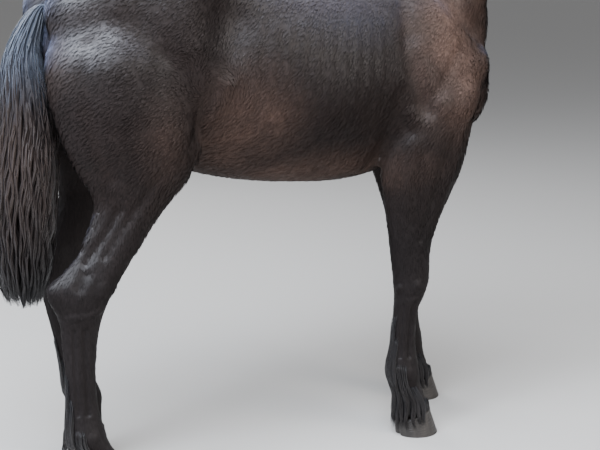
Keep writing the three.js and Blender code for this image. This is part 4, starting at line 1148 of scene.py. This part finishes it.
def maneLines(side, count, seed):
    rng = np.random.default_rng(seed)
    reach = sideReach(side)
    place, middle, clump = gathered(rng, count, mane["clumps"])
    t = np.linspace(0, 1, mane["rings"])[None, :] ** 1.6
    pull = (0.35 + 0.45 * rng.uniform(size=count))[:, None]
    s = place[:, None] + (middle - place)[:, None] * pull * t ** 1.1
    s = s + (rng.normal(0, 0.006, mane["clumps"])[clump])[:, None] * t
    rows = between(neckRows, (mane["from"] + (mane["to"] - mane["from"]) * s).ravel()).reshape(*s.shape, 8)
    clumpLength = rng.uniform(0.84, 1.16, mane["clumps"])[clump]
    full = mane["drop"] * clumpLength * rng.uniform(0.74, 1.04, count)
    full = full * (0.7 + 0.3 * np.sin(math.pi * place))
    depth = rng.uniform(0, 1, count) ** 0.8
    full = full * (0.86 + 0.14 * depth) * (0.34 + 0.66 * soft(place, -0.02, 0.24))  # short at the withers
    if side < 0:
        full = np.minimum(full * 0.9, rows[:, 0, 1] - mane["rightEnd"] - rng.uniform(0, 34, count))
    full = np.maximum(full, 60)[:, None]
    swell, length = mane["crimp"]
    phase = rng.uniform(0, 6.3, mane["clumps"])[clump] + rng.normal(0, 0.45, count)
    fall = full * t
    wave = np.sin(2 * math.pi * fall / length + phase[:, None]) * np.clip(fall / 90, 0, 1)
    drift = -0.3 * place[:, None] - 0.03
    x = rows[..., 0] + drift * fall + swell * wave
    rise = 15 * np.sin(math.pi * np.clip(fall / 70, 0, 1)) * (0.4 + 0.6 * depth[:, None])
    z = np.maximum(rows[..., 1], crestHeight(rows[..., 0])) - fall + rise
    off = 3 + mane["lift"] * depth[:, None] * (0.5 + 0.5 * t) + 4 * t + 0.4 * swell * np.abs(wave)
    y = side * (reach(x, z) + off)
    y[:, 0] = rng.uniform(-17, 3, count) * side
    z[:, 0] -= 1 + 0.03 * y[:, 0] ** 2 + rng.uniform(0, 5, count)
    x[:, 0] += rng.uniform(-16, 16, count)
    lines = np.stack([x, y, z], -1)
    level = np.array([1.0, side * 0.2, 0.0])
    across = (level + 0 * lines) * side
    widths = rng.uniform(*mane["width"], count)
    tone = np.clip(0.5 * rng.uniform(0, 1, mane["clumps"])[clump] + 0.5 * rng.uniform(size=count), 0, 1)
    sun = (0.05 + 0.5 * np.clip(t - 0.25, 0, 1)) * (0.3 + 0.7 * depth[:, None])
    return lines, across, widths, sun, tone


for side, word, count in ((1, "left", mane["strands"][0]), (-1, "right", mane["strands"][1])):
    strandMesh(f"mane_{word}", *maneLines(side, count, 23 + side))
print("mane grown")

# forelock: from between the ears down over the forehead
forelock = {"strands": 640, "clumps": 11, "rings": 9, "root": 27, "tip": 54, "length": 268, "lift": 13,
            "width": (2.6, 4.8)}


def faceReach(low=(-48, -84), size=(408, 168), step=6.0):
    # height of the face over the line of the poll, by distance down the face and sideways
    far = 300.0
    rows, columns = int(size[0] / step), int(size[1] / step)
    start = headPlace(low[0], far, low[1])
    grid = castMap(start, faceAlong * step, np.array([0, step, 0]), rows, columns, tuple(-faceOut))
    grid = np.where(np.isnan(grid), far + 60, grid)
    return lambda along, y: far - sampled(grid, (along - low[0]) / step, (y - low[1]) / step)


def forelockLines(seed=41):
    f = forelock
    count = f["strands"]
    rng = np.random.default_rng(seed)
    reach = faceReach()
    place, middle, clump = gathered(rng, count, f["clumps"], -1, 1)
    t = np.linspace(0, 1, f["rings"])[None, :]
    s = place[:, None] + (middle - place)[:, None] * 0.7 * t
    y = s * (f["root"] + (f["tip"] - f["root"]) * t ** 0.8)
    length = f["length"] * (1 - 0.28 * place**2) * rng.uniform(0.62, 1.03, count)
    length = length * rng.uniform(0.9, 1.08, f["clumps"])[clump]
    root = rng.uniform(-34, 14, count)
    along = root[:, None] + length[:, None] * t
    phase = rng.uniform(0, 6.3, f["clumps"])[clump][:, None]
    wave = np.sin(along / 17 + phase) * np.clip(t * 3, 0, 1)
    y = y + 3.2 * wave
    depth = rng.uniform(0, 1, count)[:, None]
    arch = np.sin(math.pi * np.clip(t * 0.75 + 0.12, 0, 1))
    out = reach(along, y) + 2.5 + f["lift"] * depth * arch + 4 * (1 - t)
    out[:, 0] = reach(along, y)[:, 0] - 5
    lines = poll + along[..., None] * faceAlong + out[..., None] * faceOut
    lines[..., 1] = y
    across = np.broadcast_to(np.array([0.0, 1.0, 0.0]) + 0.2 * faceOut, lines.shape)
    sun = (0.05 + 0.4 * t) * (0.4 + 0.6 * depth)
    return lines, across, rng.uniform(*f["width"], count), sun, rng.uniform(size=count)


strandMesh("forelock", *forelockLines())
print("forelock grown")

# tail: from the dock down to the hocks, in long crimped strands
tailRows = [(-640, 1335, 22, 24), (-668, 1326, 28, 32), (-692, 1285, 38, 44), (-720, 1200, 52, 58),
            (-719, 1070, 74, 84), (-733, 920, 91, 100), (-746, 770, 92, 101), (-749, 650, 80, 86),
            (-747, 540, 48, 52)]
tail = {"strands": 3000, "clumps": 54, "rings": 19, "width": (3.2, 6.2), "crimp": (6.0, 100.0)}
dockRows = [(0.9,), (0.72,), (0.55,), (0.42,), (0.3,), (0.12,)]


def tailLines(seed, count, low, high):
    # strands whose roots lie between two angles round the dock
    rng = np.random.default_rng(seed)
    clumps = tail["clumps"] // 2
    place, middle, clump = gathered(rng, count, clumps, low, high)
    rear = 0.5 - 0.5 * np.cos(place)
    depth = rng.uniform(0.0, 1.0, count) ** 0.55
    root = 0.25 + 3.3 * rng.uniform(0, 1, count) ** 1.15 * (1 - 0.35 * rear) + 0.9 * (1 - rear)
    end = 8.0 - 0.35 * rng.uniform(0, 1, clumps)[clump] - 1.7 * rng.uniform(0, 1, count) ** 2.6
    end = np.clip(end, 0, 8)
    t = np.linspace(0, 1, tail["rings"])[None, :]
    level = root[:, None] + (end - root)[:, None] * t
    angle = place[:, None] + (middle - place)[:, None] * (0.75 * t)
    sink = np.interp(level.ravel(), np.arange(6), np.ravel(dockRows)).reshape(level.shape)
    lifted = np.clip(t * 4, 0, 1) ** 0.8
    share = sink * (1 - lifted) * 0.9 + (0.15 + 0.84 * depth[:, None]) * lifted
    rows = between(tailRows, level.ravel()).reshape(*level.shape, 4)
    swell, length = tail["crimp"]
    phase = rng.uniform(0, 6.3, clumps)[clump] + rng.normal(0, 0.3, count)
    run = 1345 - rows[..., 1]
    grown = np.clip(run / 260, 0, 1) * lifted
    wave = np.sin(2 * math.pi * run / length + phase[:, None]) * grown
    second = np.cos(2 * math.pi * run / (length * 1.37) + 2 * phase[:, None]) * grown
    x = rows[..., 0] + np.cos(angle) * rows[..., 2] * share + swell * 0.7 * second
    y = np.sin(angle) * rows[..., 3] * share + swell * wave
    lines = np.stack([x, y, rows[..., 1]], -1)
    across = np.stack([-np.sin(angle), np.cos(angle), 0 * angle], -1)
    tone = np.clip(0.6 * rng.uniform(0, 1, clumps)[clump] + 0.4 * rng.uniform(size=count), 0, 1)
    # painted sheen: the top of the tail is given a bluish shine where light from above falls on it
    paintedSheen = soft(rows[..., 1], 1040, 1230) * (0.4 + 0.6 * depth[:, None])
    fade = np.interp(rows[..., 1].ravel(), [560, 740, 960, 1110, 1220], [0.08, 0.5, 0.85, 0.45, 0.03])
    sun = fade.reshape(level.shape) * (0.45 + 0.55 * depth[:, None])
    return lines, across, rng.uniform(*tail["width"], count), sun, tone, paintedSheen


def bentClear(lines, gap):
    # points that would lie in the buttock are moved back out of the skin
    flat = lines.reshape(-1, 3)
    for k, spot in enumerate(placed(flat)):
        if spot[0] - shift[0] < -0.80:
            continue
        near, facing, _, _ = tree.find_nearest(spot, 0.09)
        if near is None:
            continue
        off = (Vector(spot) - near).dot(facing) * 1000
        if off < gap:
            flat[k] += np.array(facing) * (gap - off)
    return flat.reshape(lines.shape)


tailPieces = []
for part, (low, high) in (("near", (math.pi, 2 * math.pi)), ("far", (0.0, math.pi))):
    count = tail["strands"] // 2
    lines, *rest = tailLines(61 + len(tailPieces), count, low, high)
    lines[:, 2:] = bentClear(lines[:, 2:], 4.0)
    tailPieces.append(strandMesh(f"tail_{part}", lines, *rest))
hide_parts("tail")
print("tail grown")

# feather: long hair behind and beside each fetlock, down over the heel
hoofShape = {"fore": (502, 368, 471, 362, 133, 66), "hind": (-476, -606, -514, -620, 184, 62),
             "frontHeight": 88, "rearHeight": 48, "crownHalf": 52,
             "tilt": math.radians(30), "toe": -505, "toeFlat": 5}
# tiers: root and tip height, half spread in degrees, strands, lift off the leg, scatter of the roots
# and width; the lowest is the short fringe round the crown of the hoof
feather = {"rings": 7,
           "tiers": [(345, 215, 20, 150, 7, 60, 1.8), (285, 130, 38, 350, 11, 50, 2.2),
                     (222, 62, 74, 460, 14, 34, 2.4), (160, 12, 110, 600, 14, 22, 2.4),
                     (104, 72, 178, 600, 3, 7, 1.3)]}
fringeLift = 5  # a tier that lies closer than this is the fringe


def hoofPlace(kind, side, lift, angle, extra):
    toe, heel, crownFront, crownRear, y, half = hoofShape[kind]
    share = (np.cos(angle) + 1) / 2
    front = toe + (crownFront - toe) * lift + extra
    rear = heel + (crownRear - heel) * lift - extra
    wide = half + (hoofShape["crownHalf"] - half) * lift + extra
    centre = y - stance[kind]["inward"] if side > 0 else -y
    lead = stance[kind]["advance"] if side > 0 else 0
    height = hoofShape["rearHeight"] + (hoofShape["frontHeight"] - hoofShape["rearHeight"]) * share
    beside = centre + np.sin(angle) * wide * (0.9 + 0.1 * share)
    spot = np.stack([rear + (front - rear) * share + lead, beside, lift * height], -1)
    return tipped(spot) if kind == "hind" and side > 0 else spot


def tipped(spot):
    # the resting hoof turned about its toe, the heel raised and a small flat worn under the toe
    x, z = spot[..., 0] - hoofShape["hind"][0] - stance["hind"]["advance"], spot[..., 2]
    c, n = math.cos(hoofShape["tilt"]), math.sin(hoofShape["tilt"])
    ahead, up = hoofShape["toe"] + x * c + z * n, z * c - x * n - hoofShape["toeFlat"]
    return np.stack([ahead, spot[..., 1], up], -1)


def legPlace(kind, side, height, angle, extra):
    # points of a leg's surface at heights and angles, both of one shape
    rows = np.array(legRows(kind, side))
    place = np.interp(-height.ravel(), -rows[:, 0], np.arange(len(rows)))
    shape = legShape(kind, side)(between(rows, place))
    grown = outline(shape, angle.reshape(-1, 1), grow=np.asarray(extra + 0 * height).reshape(-1, 1))
    return grown.reshape(*height.shape, 3)


def featherLines(kind, side, seed):
    rng = np.random.default_rng(seed)
    parts = []
    for root, tip, spread, count, most, scatter, wide in feather["tiers"]:
        count = count
        clumps, pull = (max(5, spread // 9), 0.7) if most > fringeLift else (spread // 3, 0.2)
        place, middle, clump = gathered(rng, count, clumps, -1, 1)
        t = np.linspace(0, 1, feather["rings"])[None, :]
        turn = np.radians(spread) * (place[:, None] + (middle - place)[:, None] * pull * t)
        angle = math.pi + turn
        small = min(1.0, (root - tip) / 90)
        start = root - 0.12 * spread * np.abs(place) * (most > fringeLift)
        start = start + rng.uniform(-scatter, scatter, count)
        end = tip + small * (0.2 * spread * np.abs(place) + rng.uniform(0, 26, count)
                             + rng.uniform(0, 14, clumps)[clump])
        end = np.minimum(end, start - 26)
        z = start[:, None] + (end - start)[:, None] * t
        depth = rng.uniform(0.15, 1, count)[:, None]
        lift = 1.5 + most * depth * (0.2 + 0.8 * t) * (0.7 + 0.3 * np.cos(turn))
        onLeg = legPlace(kind, side, np.maximum(z, 95.0), angle, lift)
        onHoof = hoofPlace(kind, side, np.clip(z / 60, 0, 1), angle, lift)
        share = np.clip((150 - z) / 70, 0, 1)[..., None]
        lines = onLeg + (onHoof - onLeg) * share
        phase = rng.uniform(0, 6.3, clumps)[clump][:, None]
        wave = np.sin((start[:, None] - z) / 15 + phase) * np.clip(t * 2, 0, 1) * 2.6 * small ** 2
        beside = np.stack([-np.sin(angle), np.cos(angle), 0 * angle], -1)
        lines = lines + beside * wave[..., None]
        lines[..., 2] = z
        sunk = legPlace(kind, side, np.maximum(z[:, :1], 95.0), angle[:, :1], -4.0)
        lines[:, 0, :2] = sunk[:, 0, :2]
        sun = (0.04 + 0.22 * t) * depth
        tone = rng.uniform(size=count)
        parts.append((lines, beside, wide * rng.uniform(0.6, 1.3, count), sun + 0 * z, tone))
    return [np.concatenate(kinds) for kinds in zip(*parts)]


for kind in ("fore", "hind"):
    for side, word in ((1, "left"), (-1, "right")):
        seed = 71 + side + (10 if kind == "fore" else 0)
        strandMesh(f"feather_{kind}_{word}", *featherLines(kind, side, seed))
print("feather grown")

# ears: thin, cupped forward, with hair in the cup
# ear rows: share of the length, half width, half depth
earShape = [(-0.12, 15, 15), (0, 21, 19), (0.2, 28, 20), (0.42, 31, 17), (0.65, 25, 13), (0.84, 14, 8),
            (1, 2.5, 2.5)]
ear = {"root": (22, 22, 50), "length": 150, "tipIn": 14, "steps": 6, "sides": 56,
       "hairs": 900}


def earAxes(side):
    along, outward = unit((0.12, side * 0.2, 1.0)), np.array([0.45, side * 0.9, 0])
    across = unit(outward - along * (outward @ along))
    facing = np.cross(along, across) * -side
    return along, across, unit(facing)


def earPlace(side, t, wide, deep):
    # a place in the ear's own measure: up its length, across it and towards its opening
    along, across, facing = earAxes(side)
    root = headPlace(*ear["root"][:2], side * ear["root"][2])
    lean = -side * ear["tipIn"] * np.clip(t, 0, 1) ** 2
    spot = root + np.asarray(t)[..., None] * ear["length"] * along + np.asarray(wide)[..., None] * across
    spot = spot + np.asarray(deep)[..., None] * facing
    spot[..., 1] += lean
    return spot


def buildEar(side, word):
    rows = between(earShape, np.linspace(0, len(earShape) - 1, (len(earShape) - 1) * ear["steps"] + 1))
    turn = np.linspace(0, 2 * math.pi, ear["sides"], endpoint=False)[None, :]
    t, wide, deep = (rows[:, k, None] for k in range(3))
    # the opening faces forward: there the wall folds inwards into the cup
    opening = np.clip(np.cos(turn), 0, 1) ** 0.6 * soft(t, 0.04, 0.22) * (1 - soft(t, 0.93, 1.0))
    reach = deep * np.cos(turn)
    hollow = np.where(np.cos(turn) > 0, -deep * 0.82 * np.cos(turn) ** 0.7, 0)
    depth = reach * (1 - opening) + opening * (hollow + 0 * reach)
    across = wide * np.sin(turn) * np.where(np.cos(turn) > 0, 1 - 0.13 * opening, 1)
    lobe = 1.5 * np.exp(-((np.abs(np.sin(turn)) - 1) / 0.05) ** 2) * soft(t, 0.1, 0.3)
    rings = earPlace(side, t + 0 * turn, across, depth + lobe)
    p, f = ringMesh(rings)
    made = newObject(f"ear_{word}_skin", placed(p), f)
    shade(made.data, "sun", np.full(len(p), 0.06))
    # an even painted sheen share on the ear
    shade(made.data, "paintedSheen", np.full(len(p), 0.3))
    made.data.materials.append(coat)
    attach(made, "root")
    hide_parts(f"ear_{word}")


def earHair(side, word, count, rings=5):
    # soft hair: a fringe along the ear's rims and a filling of the cup
    rng = np.random.default_rng(91 + side)
    t = rng.uniform(0.06, 0.95, count)
    edge = rng.uniform(size=count) < 0.5
    rows = between(earShape, np.interp(t, [row[0] for row in earShape], range(len(earShape))))
    rim = rng.choice([-1, 1], count) * rng.uniform(1.35, 1.75, count)
    turn = np.where(edge, rim, rng.uniform(-1.3, 1.3, count))
    wide = rows[:, 1] * np.sin(turn)
    deep = np.where(edge, rows[:, 2] * 0.1, -rows[:, 2] * 0.78 * np.abs(np.cos(turn)) ** 0.7)
    s = np.linspace(0, 1, rings)[None, :]
    length = np.where(edge, rng.uniform(7, 12, count), rng.uniform(12, 24, count))[:, None]
    up = np.where(edge, 0.95, 0.65)[:, None] * length * s / ear["length"]
    away = np.where(edge, 3, 4 + 0.5 * length[:, 0])[:, None]
    inwards = 1 - 0.3 * s * (1 - edge[:, None])
    lines = earPlace(side, np.minimum(t[:, None] + up, 1.02), wide[:, None] * inwards,
                     deep[:, None] - 1.5 + away * s)
    across = np.broadcast_to(earAxes(side)[1], lines.shape)
    widths, tone = rng.uniform(0.8, 1.5, count), rng.uniform(size=count)
    strandMesh(f"ear_hair_{word}", lines, across, widths, 0.12 + 0 * s + 0 * t[:, None], tone)


for side, word in ((1, "left"), (-1, "right")):
    buildEar(side, word)
    earHair(side, word, ear["hairs"])
print("ears shaped")

# eyes: ball, lids with a lash line, set at the drawing's place
eye = {"radius": 21.0, "iris": 11.5, "pupil": (7.0, 3.6), "lid": 2.7, "inner": (16.6, 10.0),
       "outer": (28, 20), "lashes": 46}


def buildEye(side, word):
    facing, along, up = eyeAxes(side)
    centre = eyeCentre(side)
    lift = np.linspace(0, math.pi, 34)[1:-1, None]
    turn = np.linspace(0, 2 * math.pi, 48, endpoint=False)[None, :]
    bulge = eye["radius"] * (1 + 0.05 * np.exp(-(lift / 0.5) ** 2))
    a, b = np.sin(lift) * np.cos(turn), np.sin(lift) * np.sin(turn)
    rings = centre + bulge[..., None] * (a[..., None] * along + b[..., None] * up
                                        + (np.cos(lift) + 0 * turn)[..., None] * facing)
    p, f = ringMesh(rings)
    made = newObject(f"eye_{word}_ball", placed(p), f)
    off = p - centre
    pupil = np.sqrt((off @ along / eye["pupil"][0]) ** 2 + (off @ up / eye["pupil"][1]) ** 2)
    iris = np.linalg.norm(off - np.outer(off @ facing, facing), axis=1) / eye["iris"]
    ring = np.maximum(1 - soft(pupil, 0.85, 1.1), soft(iris, 0.9, 1.1))
    shade(made.data, "ring", np.where(off @ facing < 0, 1.0, ring))
    made.data.materials.append(eyeGlass)
    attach(made, "root")
    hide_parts(f"eye_{word}")


def buildLids(side, word):
    # a rounded rim round the gap, its outer edge sunk in the head's skin
    facing, along, up = eyeAxes(side)
    centre = eyeCentre(side)
    turn = np.linspace(0, 2 * math.pi, 72, endpoint=False)[None, :]
    s = np.linspace(0, 1, 15)[:, None]
    (inA, inB), (outA, outB) = eye["inner"], eye["outer"]
    a = (inA + (outA - inA) * s) * np.cos(turn)
    b = (inB + (outB - inB) * s) * np.sin(turn)
    corner = np.abs(np.cos(turn)) ** 6
    a = a + 3.2 * np.sign(np.cos(turn)) * corner * (1 - s)
    b = b * (1 - 0.35 * corner * (1 - s)) - 1.6 * np.cos(turn) * (1 - s)
    flatR = np.sqrt(a * a + b * b)
    shell = eye["radius"] + eye["lid"] * np.sin(math.pi * np.clip(s * 1.6, 0, 1) / 2) ** 0.7
    shell = shell - 9 * np.clip(s - 0.5, 0, 1)
    shell = shell + 2.2 * np.exp(-((s - 0.34) / 0.12) ** 2) * (np.sin(turn) > 0) * np.abs(np.sin(turn))
    deep = np.sqrt(np.clip(shell**2 - np.minimum(flatR, shell * 0.985) ** 2, 1, None))
    outerPoints = centre + a[..., None] * along + b[..., None] * up + deep[..., None] * facing
    innerShell = eye["radius"] - 1.5
    deepIn = np.sqrt(np.clip(innerShell**2 - np.minimum(flatR, innerShell * 0.97) ** 2, 1, None)) - 6 * s
    innerPoints = centre + a[..., None] * along + b[..., None] * up + deepIn[..., None] * facing
    rings = np.concatenate([innerPoints[::-1], outerPoints])
    p, f = ringMesh(rings, loop=True)
    made = newObject(f"lids_{word}", placed(p), f)
    shade(made.data, "sun", np.full(len(p), 0.02))
    made.data.materials.append(bareSkin)
    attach(made, "root")


def lashes(side, word, rings=5):
    count = eye["lashes"]
    rng = np.random.default_rng(131 + side)
    facing, along, up = eyeAxes(side)
    centre = eyeCentre(side)
    turn = rng.uniform(0.35, math.pi - 0.5, count)
    inA, inB = eye["inner"]
    s = np.linspace(0, 1, rings)[None, :]
    length = rng.uniform(10, 16, count)[:, None]
    a = inA * 1.06 * np.cos(turn)[:, None] * (1 + 0.25 * s)
    b = inB * 1.15 * np.sin(turn)[:, None] + 3.5 * np.sin(s * 2.2) * 0.6 - 4.5 * s * s
    deep = np.sqrt(eye["radius"] ** 2 - (a[:, :1] ** 2 + b[:, :1] ** 2) * 0.9) + 1.2 + length * s
    lines = centre + a[..., None] * along + b[..., None] * up + deep[..., None] * facing
    across = np.broadcast_to(along, lines.shape)
    strandMesh(f"lashes_{word}", lines, across, np.full(count, 0.9), 0.05 + 0 * a, rng.uniform(size=count))


for side, word in ((1, "left"), (-1, "right")):
    buildEye(side, word)
    buildLids(side, word)
    lashes(side, word)
print("eyes and lids set")

# hooves: growth rings, a soft crown and flat soles, over the drawing's hooves
hoof = {"lifts": 40, "sides": 120, "rings": (9, 0.55), "fine": (23, 0.3), "crown": 2.4, "cleft": 7}


def buildHoof(kind, side, word):
    lift = np.linspace(0, 1, hoof["lifts"])[:, None]
    turn = np.linspace(0, 2 * math.pi, hoof["sides"], endpoint=False)[None, :]
    (many, high), (manyFine, highFine) = hoof["rings"], hoof["fine"]
    wave = high * np.sin(lift * 2 * math.pi * many + 0.5 * np.sin(turn * 2))
    wave = wave + highFine * np.sin(lift * 2 * math.pi * manyFine)
    crown = hoof["crown"] * np.exp(-((lift - 0.95) / 0.05) ** 2)
    cleft = -hoof["cleft"] * np.exp(-((np.abs(turn - math.pi)) / 0.16) ** 2) * (1 - 0.3 * lift)
    extra = wave * (1 - soft(lift, 0.9, 1)) * soft(lift, 0.0, 0.05) * 0.8 + crown + cleft - 0.4
    rings = hoofPlace(kind, side, lift + 0 * turn, turn + 0 * lift, extra)
    if kind == "hind" and side > 0:
        rings[..., 2] = np.maximum(rings[..., 2], 0.0)
    p, f = ringMesh(rings)
    made = newObject(f"hoof_{kind}_{word}_horn", placed(p), f)
    edges = made.modifiers.new("edge", "BEVEL")
    edges.width = 0.0015
    edges.segments = 2
    edges.limit_method = "ANGLE"
    edges.angle_limit = math.radians(50)
    applied(made)
    made.data.materials.append(horn)
    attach(made, "root")
    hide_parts(f"hoof_{kind}_{word}")


for kind in ("fore", "hind"):
    for side, word in ((1, "left"), (-1, "right")):
        buildHoof(kind, side, word)
print("hooves shaped")

# short coat: tufts that lie along the hair's own run and break the outline a little
# lengths in mm; width, lift (body, face and feet) and sink are shares of the length
tufts = {"count": 128000, "body": (15, 23), "face": (6, 8), "feet": (7, 10),
         "wide": 0.12, "lift": (0.17, 0.09), "sink": 0.06}
coatParts = {"head": 0.20, "front": 0.28, "rear": 0.28, "legs": 0.24}


def skinTriangles():
    mesh = skin.data
    mesh.calc_loop_triangles()
    corners = np.empty(len(mesh.loop_triangles) * 3, np.int32)
    mesh.loop_triangles.foreach_get("vertices", corners)
    return corners.reshape(-1, 3)


def hairRun(drawn, facing):
    # which way the hair lies: down and back on the body, down the legs, down the face
    x, y, z = drawn.T
    side = np.sign(y)
    run = np.stack([-0.72 - 0.1 * np.sin(z / 140), 0 * x, -0.62 + 0.16 * np.sin(x / 210 + z / 300)], 1)
    onBack = soft(z, 1330, 1470)[:, None]
    run = run + onBack * np.stack([-0.5 + 0 * x, 0.25 * side, 0.3 + 0 * x], 1)
    onNeck = (soft(x, 430, 560) * soft(z, 1180, 1330))[:, None]
    run = run * (1 - onNeck) + onNeck * np.stack([-0.55 + 0 * x, 0 * x, -0.85 + 0 * x], 1)
    onLeg = (1 - soft(z, 760, 980))[:, None]
    run = run * (1 - onLeg) + onLeg * np.stack([-0.18 + 0 * x, 0 * x, -1 + 0 * x], 1)
    flank = np.stack([x + 292, 0 * x, z - 1120], 1)
    away = np.linalg.norm(flank, axis=1)
    swirl = (0.9 * np.exp(-(away / 105) ** 2))[:, None]
    turned = np.stack([flank[:, 2] + 0.6 * flank[:, 0], 0 * x, -flank[:, 0] + 0.6 * flank[:, 2]], 1)
    run = run * (1 - swirl) + swirl * turned / away.clip(1)[:, None]
    along, out = headShares(drawn)
    onHead = (soft(along, 40, 110) * (x > 840) * (z > 1340))[:, None]
    cheek = (1 - soft(out, -130, -60))[:, None]
    face = faceAlong * 0.8 + np.stack([0 * x, 0.25 * side, 0 * x], 1) + cheek * np.array([-0.9, 0, -0.3])
    run = run * (1 - onHead) + onHead * face
    run = run - facing * (run * facing).sum(1)[:, None]
    return unit(run)


def growCoat():
    rng = np.random.default_rng(211)
    corners = skinTriangles()
    where, facing = drawnPoints(), normalsOf(skin.data)
    a, b, c = (where[corners[:, k]] for k in range(3))
    area = np.linalg.norm(np.cross(b - a, c - a), axis=1)
    middle = (a + b + c) / 3
    along, _ = headShares(middle)
    headPart = (along > 20) & (middle[:, 0] > 840) & (middle[:, 2] > 1340)
    legPart = (middle[:, 2] < 860) & ~headPart & (np.abs(middle[:, 1]) > 60)
    frontPart = ~headPart & ~legPart & (middle[:, 0] > 60)
    chosen = {"head": headPart, "legs": legPart, "front": frontPart,
              "rear": ~(headPart | legPart | frontPart)}
    for name, share in coatParts.items():
        count = int(tufts["count"] * share)
        density = area * chosen[name]
        if name == "legs":
            density = density * np.where(middle[:, 2] < 60, 0.0, 1.0)
        pick = np.searchsorted(np.cumsum(density), rng.uniform(0, density.sum(), count))
        pick = pick.clip(0, len(area) - 1)
        u, v = rng.uniform(size=(2, count))
        flip = u + v > 1
        u, v = np.where(flip, 1 - u, u), np.where(flip, 1 - v, v)
        shares = np.stack([1 - u - v, u, v], 1)[..., None]
        root = (where[corners[pick]] * shares).sum(1)
        outward = unit((facing[corners[pick]] * shares).sum(1))
        keep = hasTuft(root)
        tuftMesh(f"coat_{name}", root[keep], outward[keep], rng)


def hasTuft(root):
    # no tufts on nostrils, lips, eyes and crowns of the hooves
    free = root[:, 2] > 66  # the crown's height
    for spot in noseSpots.values():
        free &= np.linalg.norm(root - spot, axis=1) > 24
    for side in (1, -1):
        free &= np.linalg.norm(root - eyeCentre(side), axis=1) > 27
    # the muzzle's velvet thins out towards the lips
    along, _ = headShares(root)
    thin = soft(along, 430, 530) > np.modf(np.abs(root).sum(1) * 7.3)[0]
    return free & ~(thin & (root[:, 0] > 900))


def tuftMesh(name, root, out, rng):
    count = len(root)
    run = hairRun(root, out)
    beside = np.cross(out, run)
    swerve = rng.normal(0, 0.16, count)[:, None]
    run = unit(run + beside * swerve)
    beside = np.cross(out, run)
    along, _ = headShares(root)
    onFace = soft(along, -30, 60) * (root[:, 0] > 840) * (root[:, 2] > 1340)
    onFeet = 1 - soft(root[:, 2], 430, 900)
    low, high = (body + (face - body) * onFace for body, face in zip(tufts["body"], tufts["face"]))
    below = onFeet * (1 - onFace)
    low, high = (now + (feet - now) * below for now, feet in zip((low, high), tufts["feet"]))
    length = (low + (high - low) * rng.uniform(size=count))[:, None]
    width = length * (tufts["wide"] + 0.05 * onFace)[:, None] * rng.uniform(0.8, 1.2, count)[:, None]
    most, least = tufts["lift"]
    lift = (most + (least - most) * np.maximum(onFace, onFeet))[:, None]
    lift = lift * rng.uniform(0.6, 1.4, count)[:, None]
    base = root - out * length * tufts["sink"]
    tip = root + run * length + out * length * lift
    middle = root + run * length * 0.45 + out * length * (0.5 * lift + 0.015)
    spots = np.stack([base, middle + beside * width, middle - beside * width, tip], 1)
    where = placed(spots.reshape(-1, 3))
    first = (np.arange(count) * 4)[:, None]
    triangles = np.vstack([first + (0, 2, 1), first + (1, 2, 3), first + (0, 1, 3), first + (0, 3, 2)])
    flatRoot = flatPlace(placed(root))
    flat = flatRoot[:, None] + patch * np.array([[0, 0], [0.4, 0.5], [-0.4, 0.5], [0, 1]])[None] - patch * 0.5
    made = meshFrom(name, where, np.zeros((0, 4), int), triangles, flat.reshape(-1, 2))
    shade(made.data, "sun", np.repeat(sunAt(root), 4))
    # the tufts take the same painted sheen share as the skin at their roots
    shade(made.data, "paintedSheen", np.repeat(paintedSheenAt(root, out), 4))
    # lit much as the skin below, so that tufts show as hair and not as scales
    facing = unit(out + 0.07 * beside * rng.normal(0, 1, count)[:, None] + 0.05 * run)
    made.data.normals_split_custom_set_from_vertices(np.repeat(facing, 4, axis=0))
    made.data.materials.append(coat)
    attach(made, "root")


growCoat()
print("coat grown")

# floor and light
stageLook = {"floor": (0.62, 0.60, 0.57), "half": 60.0, "air": (0.78, 0.80, 0.84), "airPower": 0.36}


def buildStage():
    half = stageLook["half"]
    corners = [(-half, -half, 0), (half, -half, 0), (half, half, 0), (-half, half, 0)]
    floor = newObject("floor", corners, [(0, 1, 2, 3)])
    material = bpy.data.materials.new("floor")
    material.use_nodes = True
    shader = material.node_tree.nodes["Principled BSDF"]
    shader.inputs["Base Color"].default_value = (*stageLook["floor"], 1)
    shader.inputs["Roughness"].default_value = 0.85
    floor.data.materials.append(material)


def addLight(name, place, target, size, power, tint):
    data = bpy.data.lights.new(name, "AREA")
    data.shape = "RECTANGLE"
    data.size, data.size_y = size
    data.energy = power
    data.color = tint
    light = bpy.data.objects.new(name, data)
    bpy.context.scene.collection.objects.link(light)
    light.location = place
    light.rotation_euler = (Vector(target) - Vector(place)).to_track_quat("-Z", "Y").to_euler()


# name: place, target, size, power, tint
panels = {"skyPanel": ((-1.9, -1.6, 4.4), (-0.3, 0.0, 1.1), (3.4, 3.0), 560, (0.84, 0.90, 1.0)),
          "sidePanel": ((2.4, -4.6, 2.4), (0.3, 0.0, 0.9), (2.6, 2.0), 130, (1.0, 0.93, 0.85)),
          "rearPanel": ((-4.6, -0.8, 3.0), (-0.7, 0.0, 1.2), (2.6, 2.4), 150, (0.78, 0.87, 1.0)),
          "farPanel": ((-1.0, 4.5, 3.0), (0.0, 0.0, 1.0), (3.5, 2.5), 130, (0.95, 0.97, 1.0))}
buildStage()
for name, panel in panels.items():
    addLight(name, *panel)
world = bpy.data.worlds.new("studio")
world.use_nodes = True
background = world.node_tree.nodes["Background"]
background.inputs["Color"].default_value = (*stageLook["air"], 1)
background.inputs["Strength"].default_value = stageLook["airPower"]
bpy.context.scene.world = world
print("stage and lights ready")
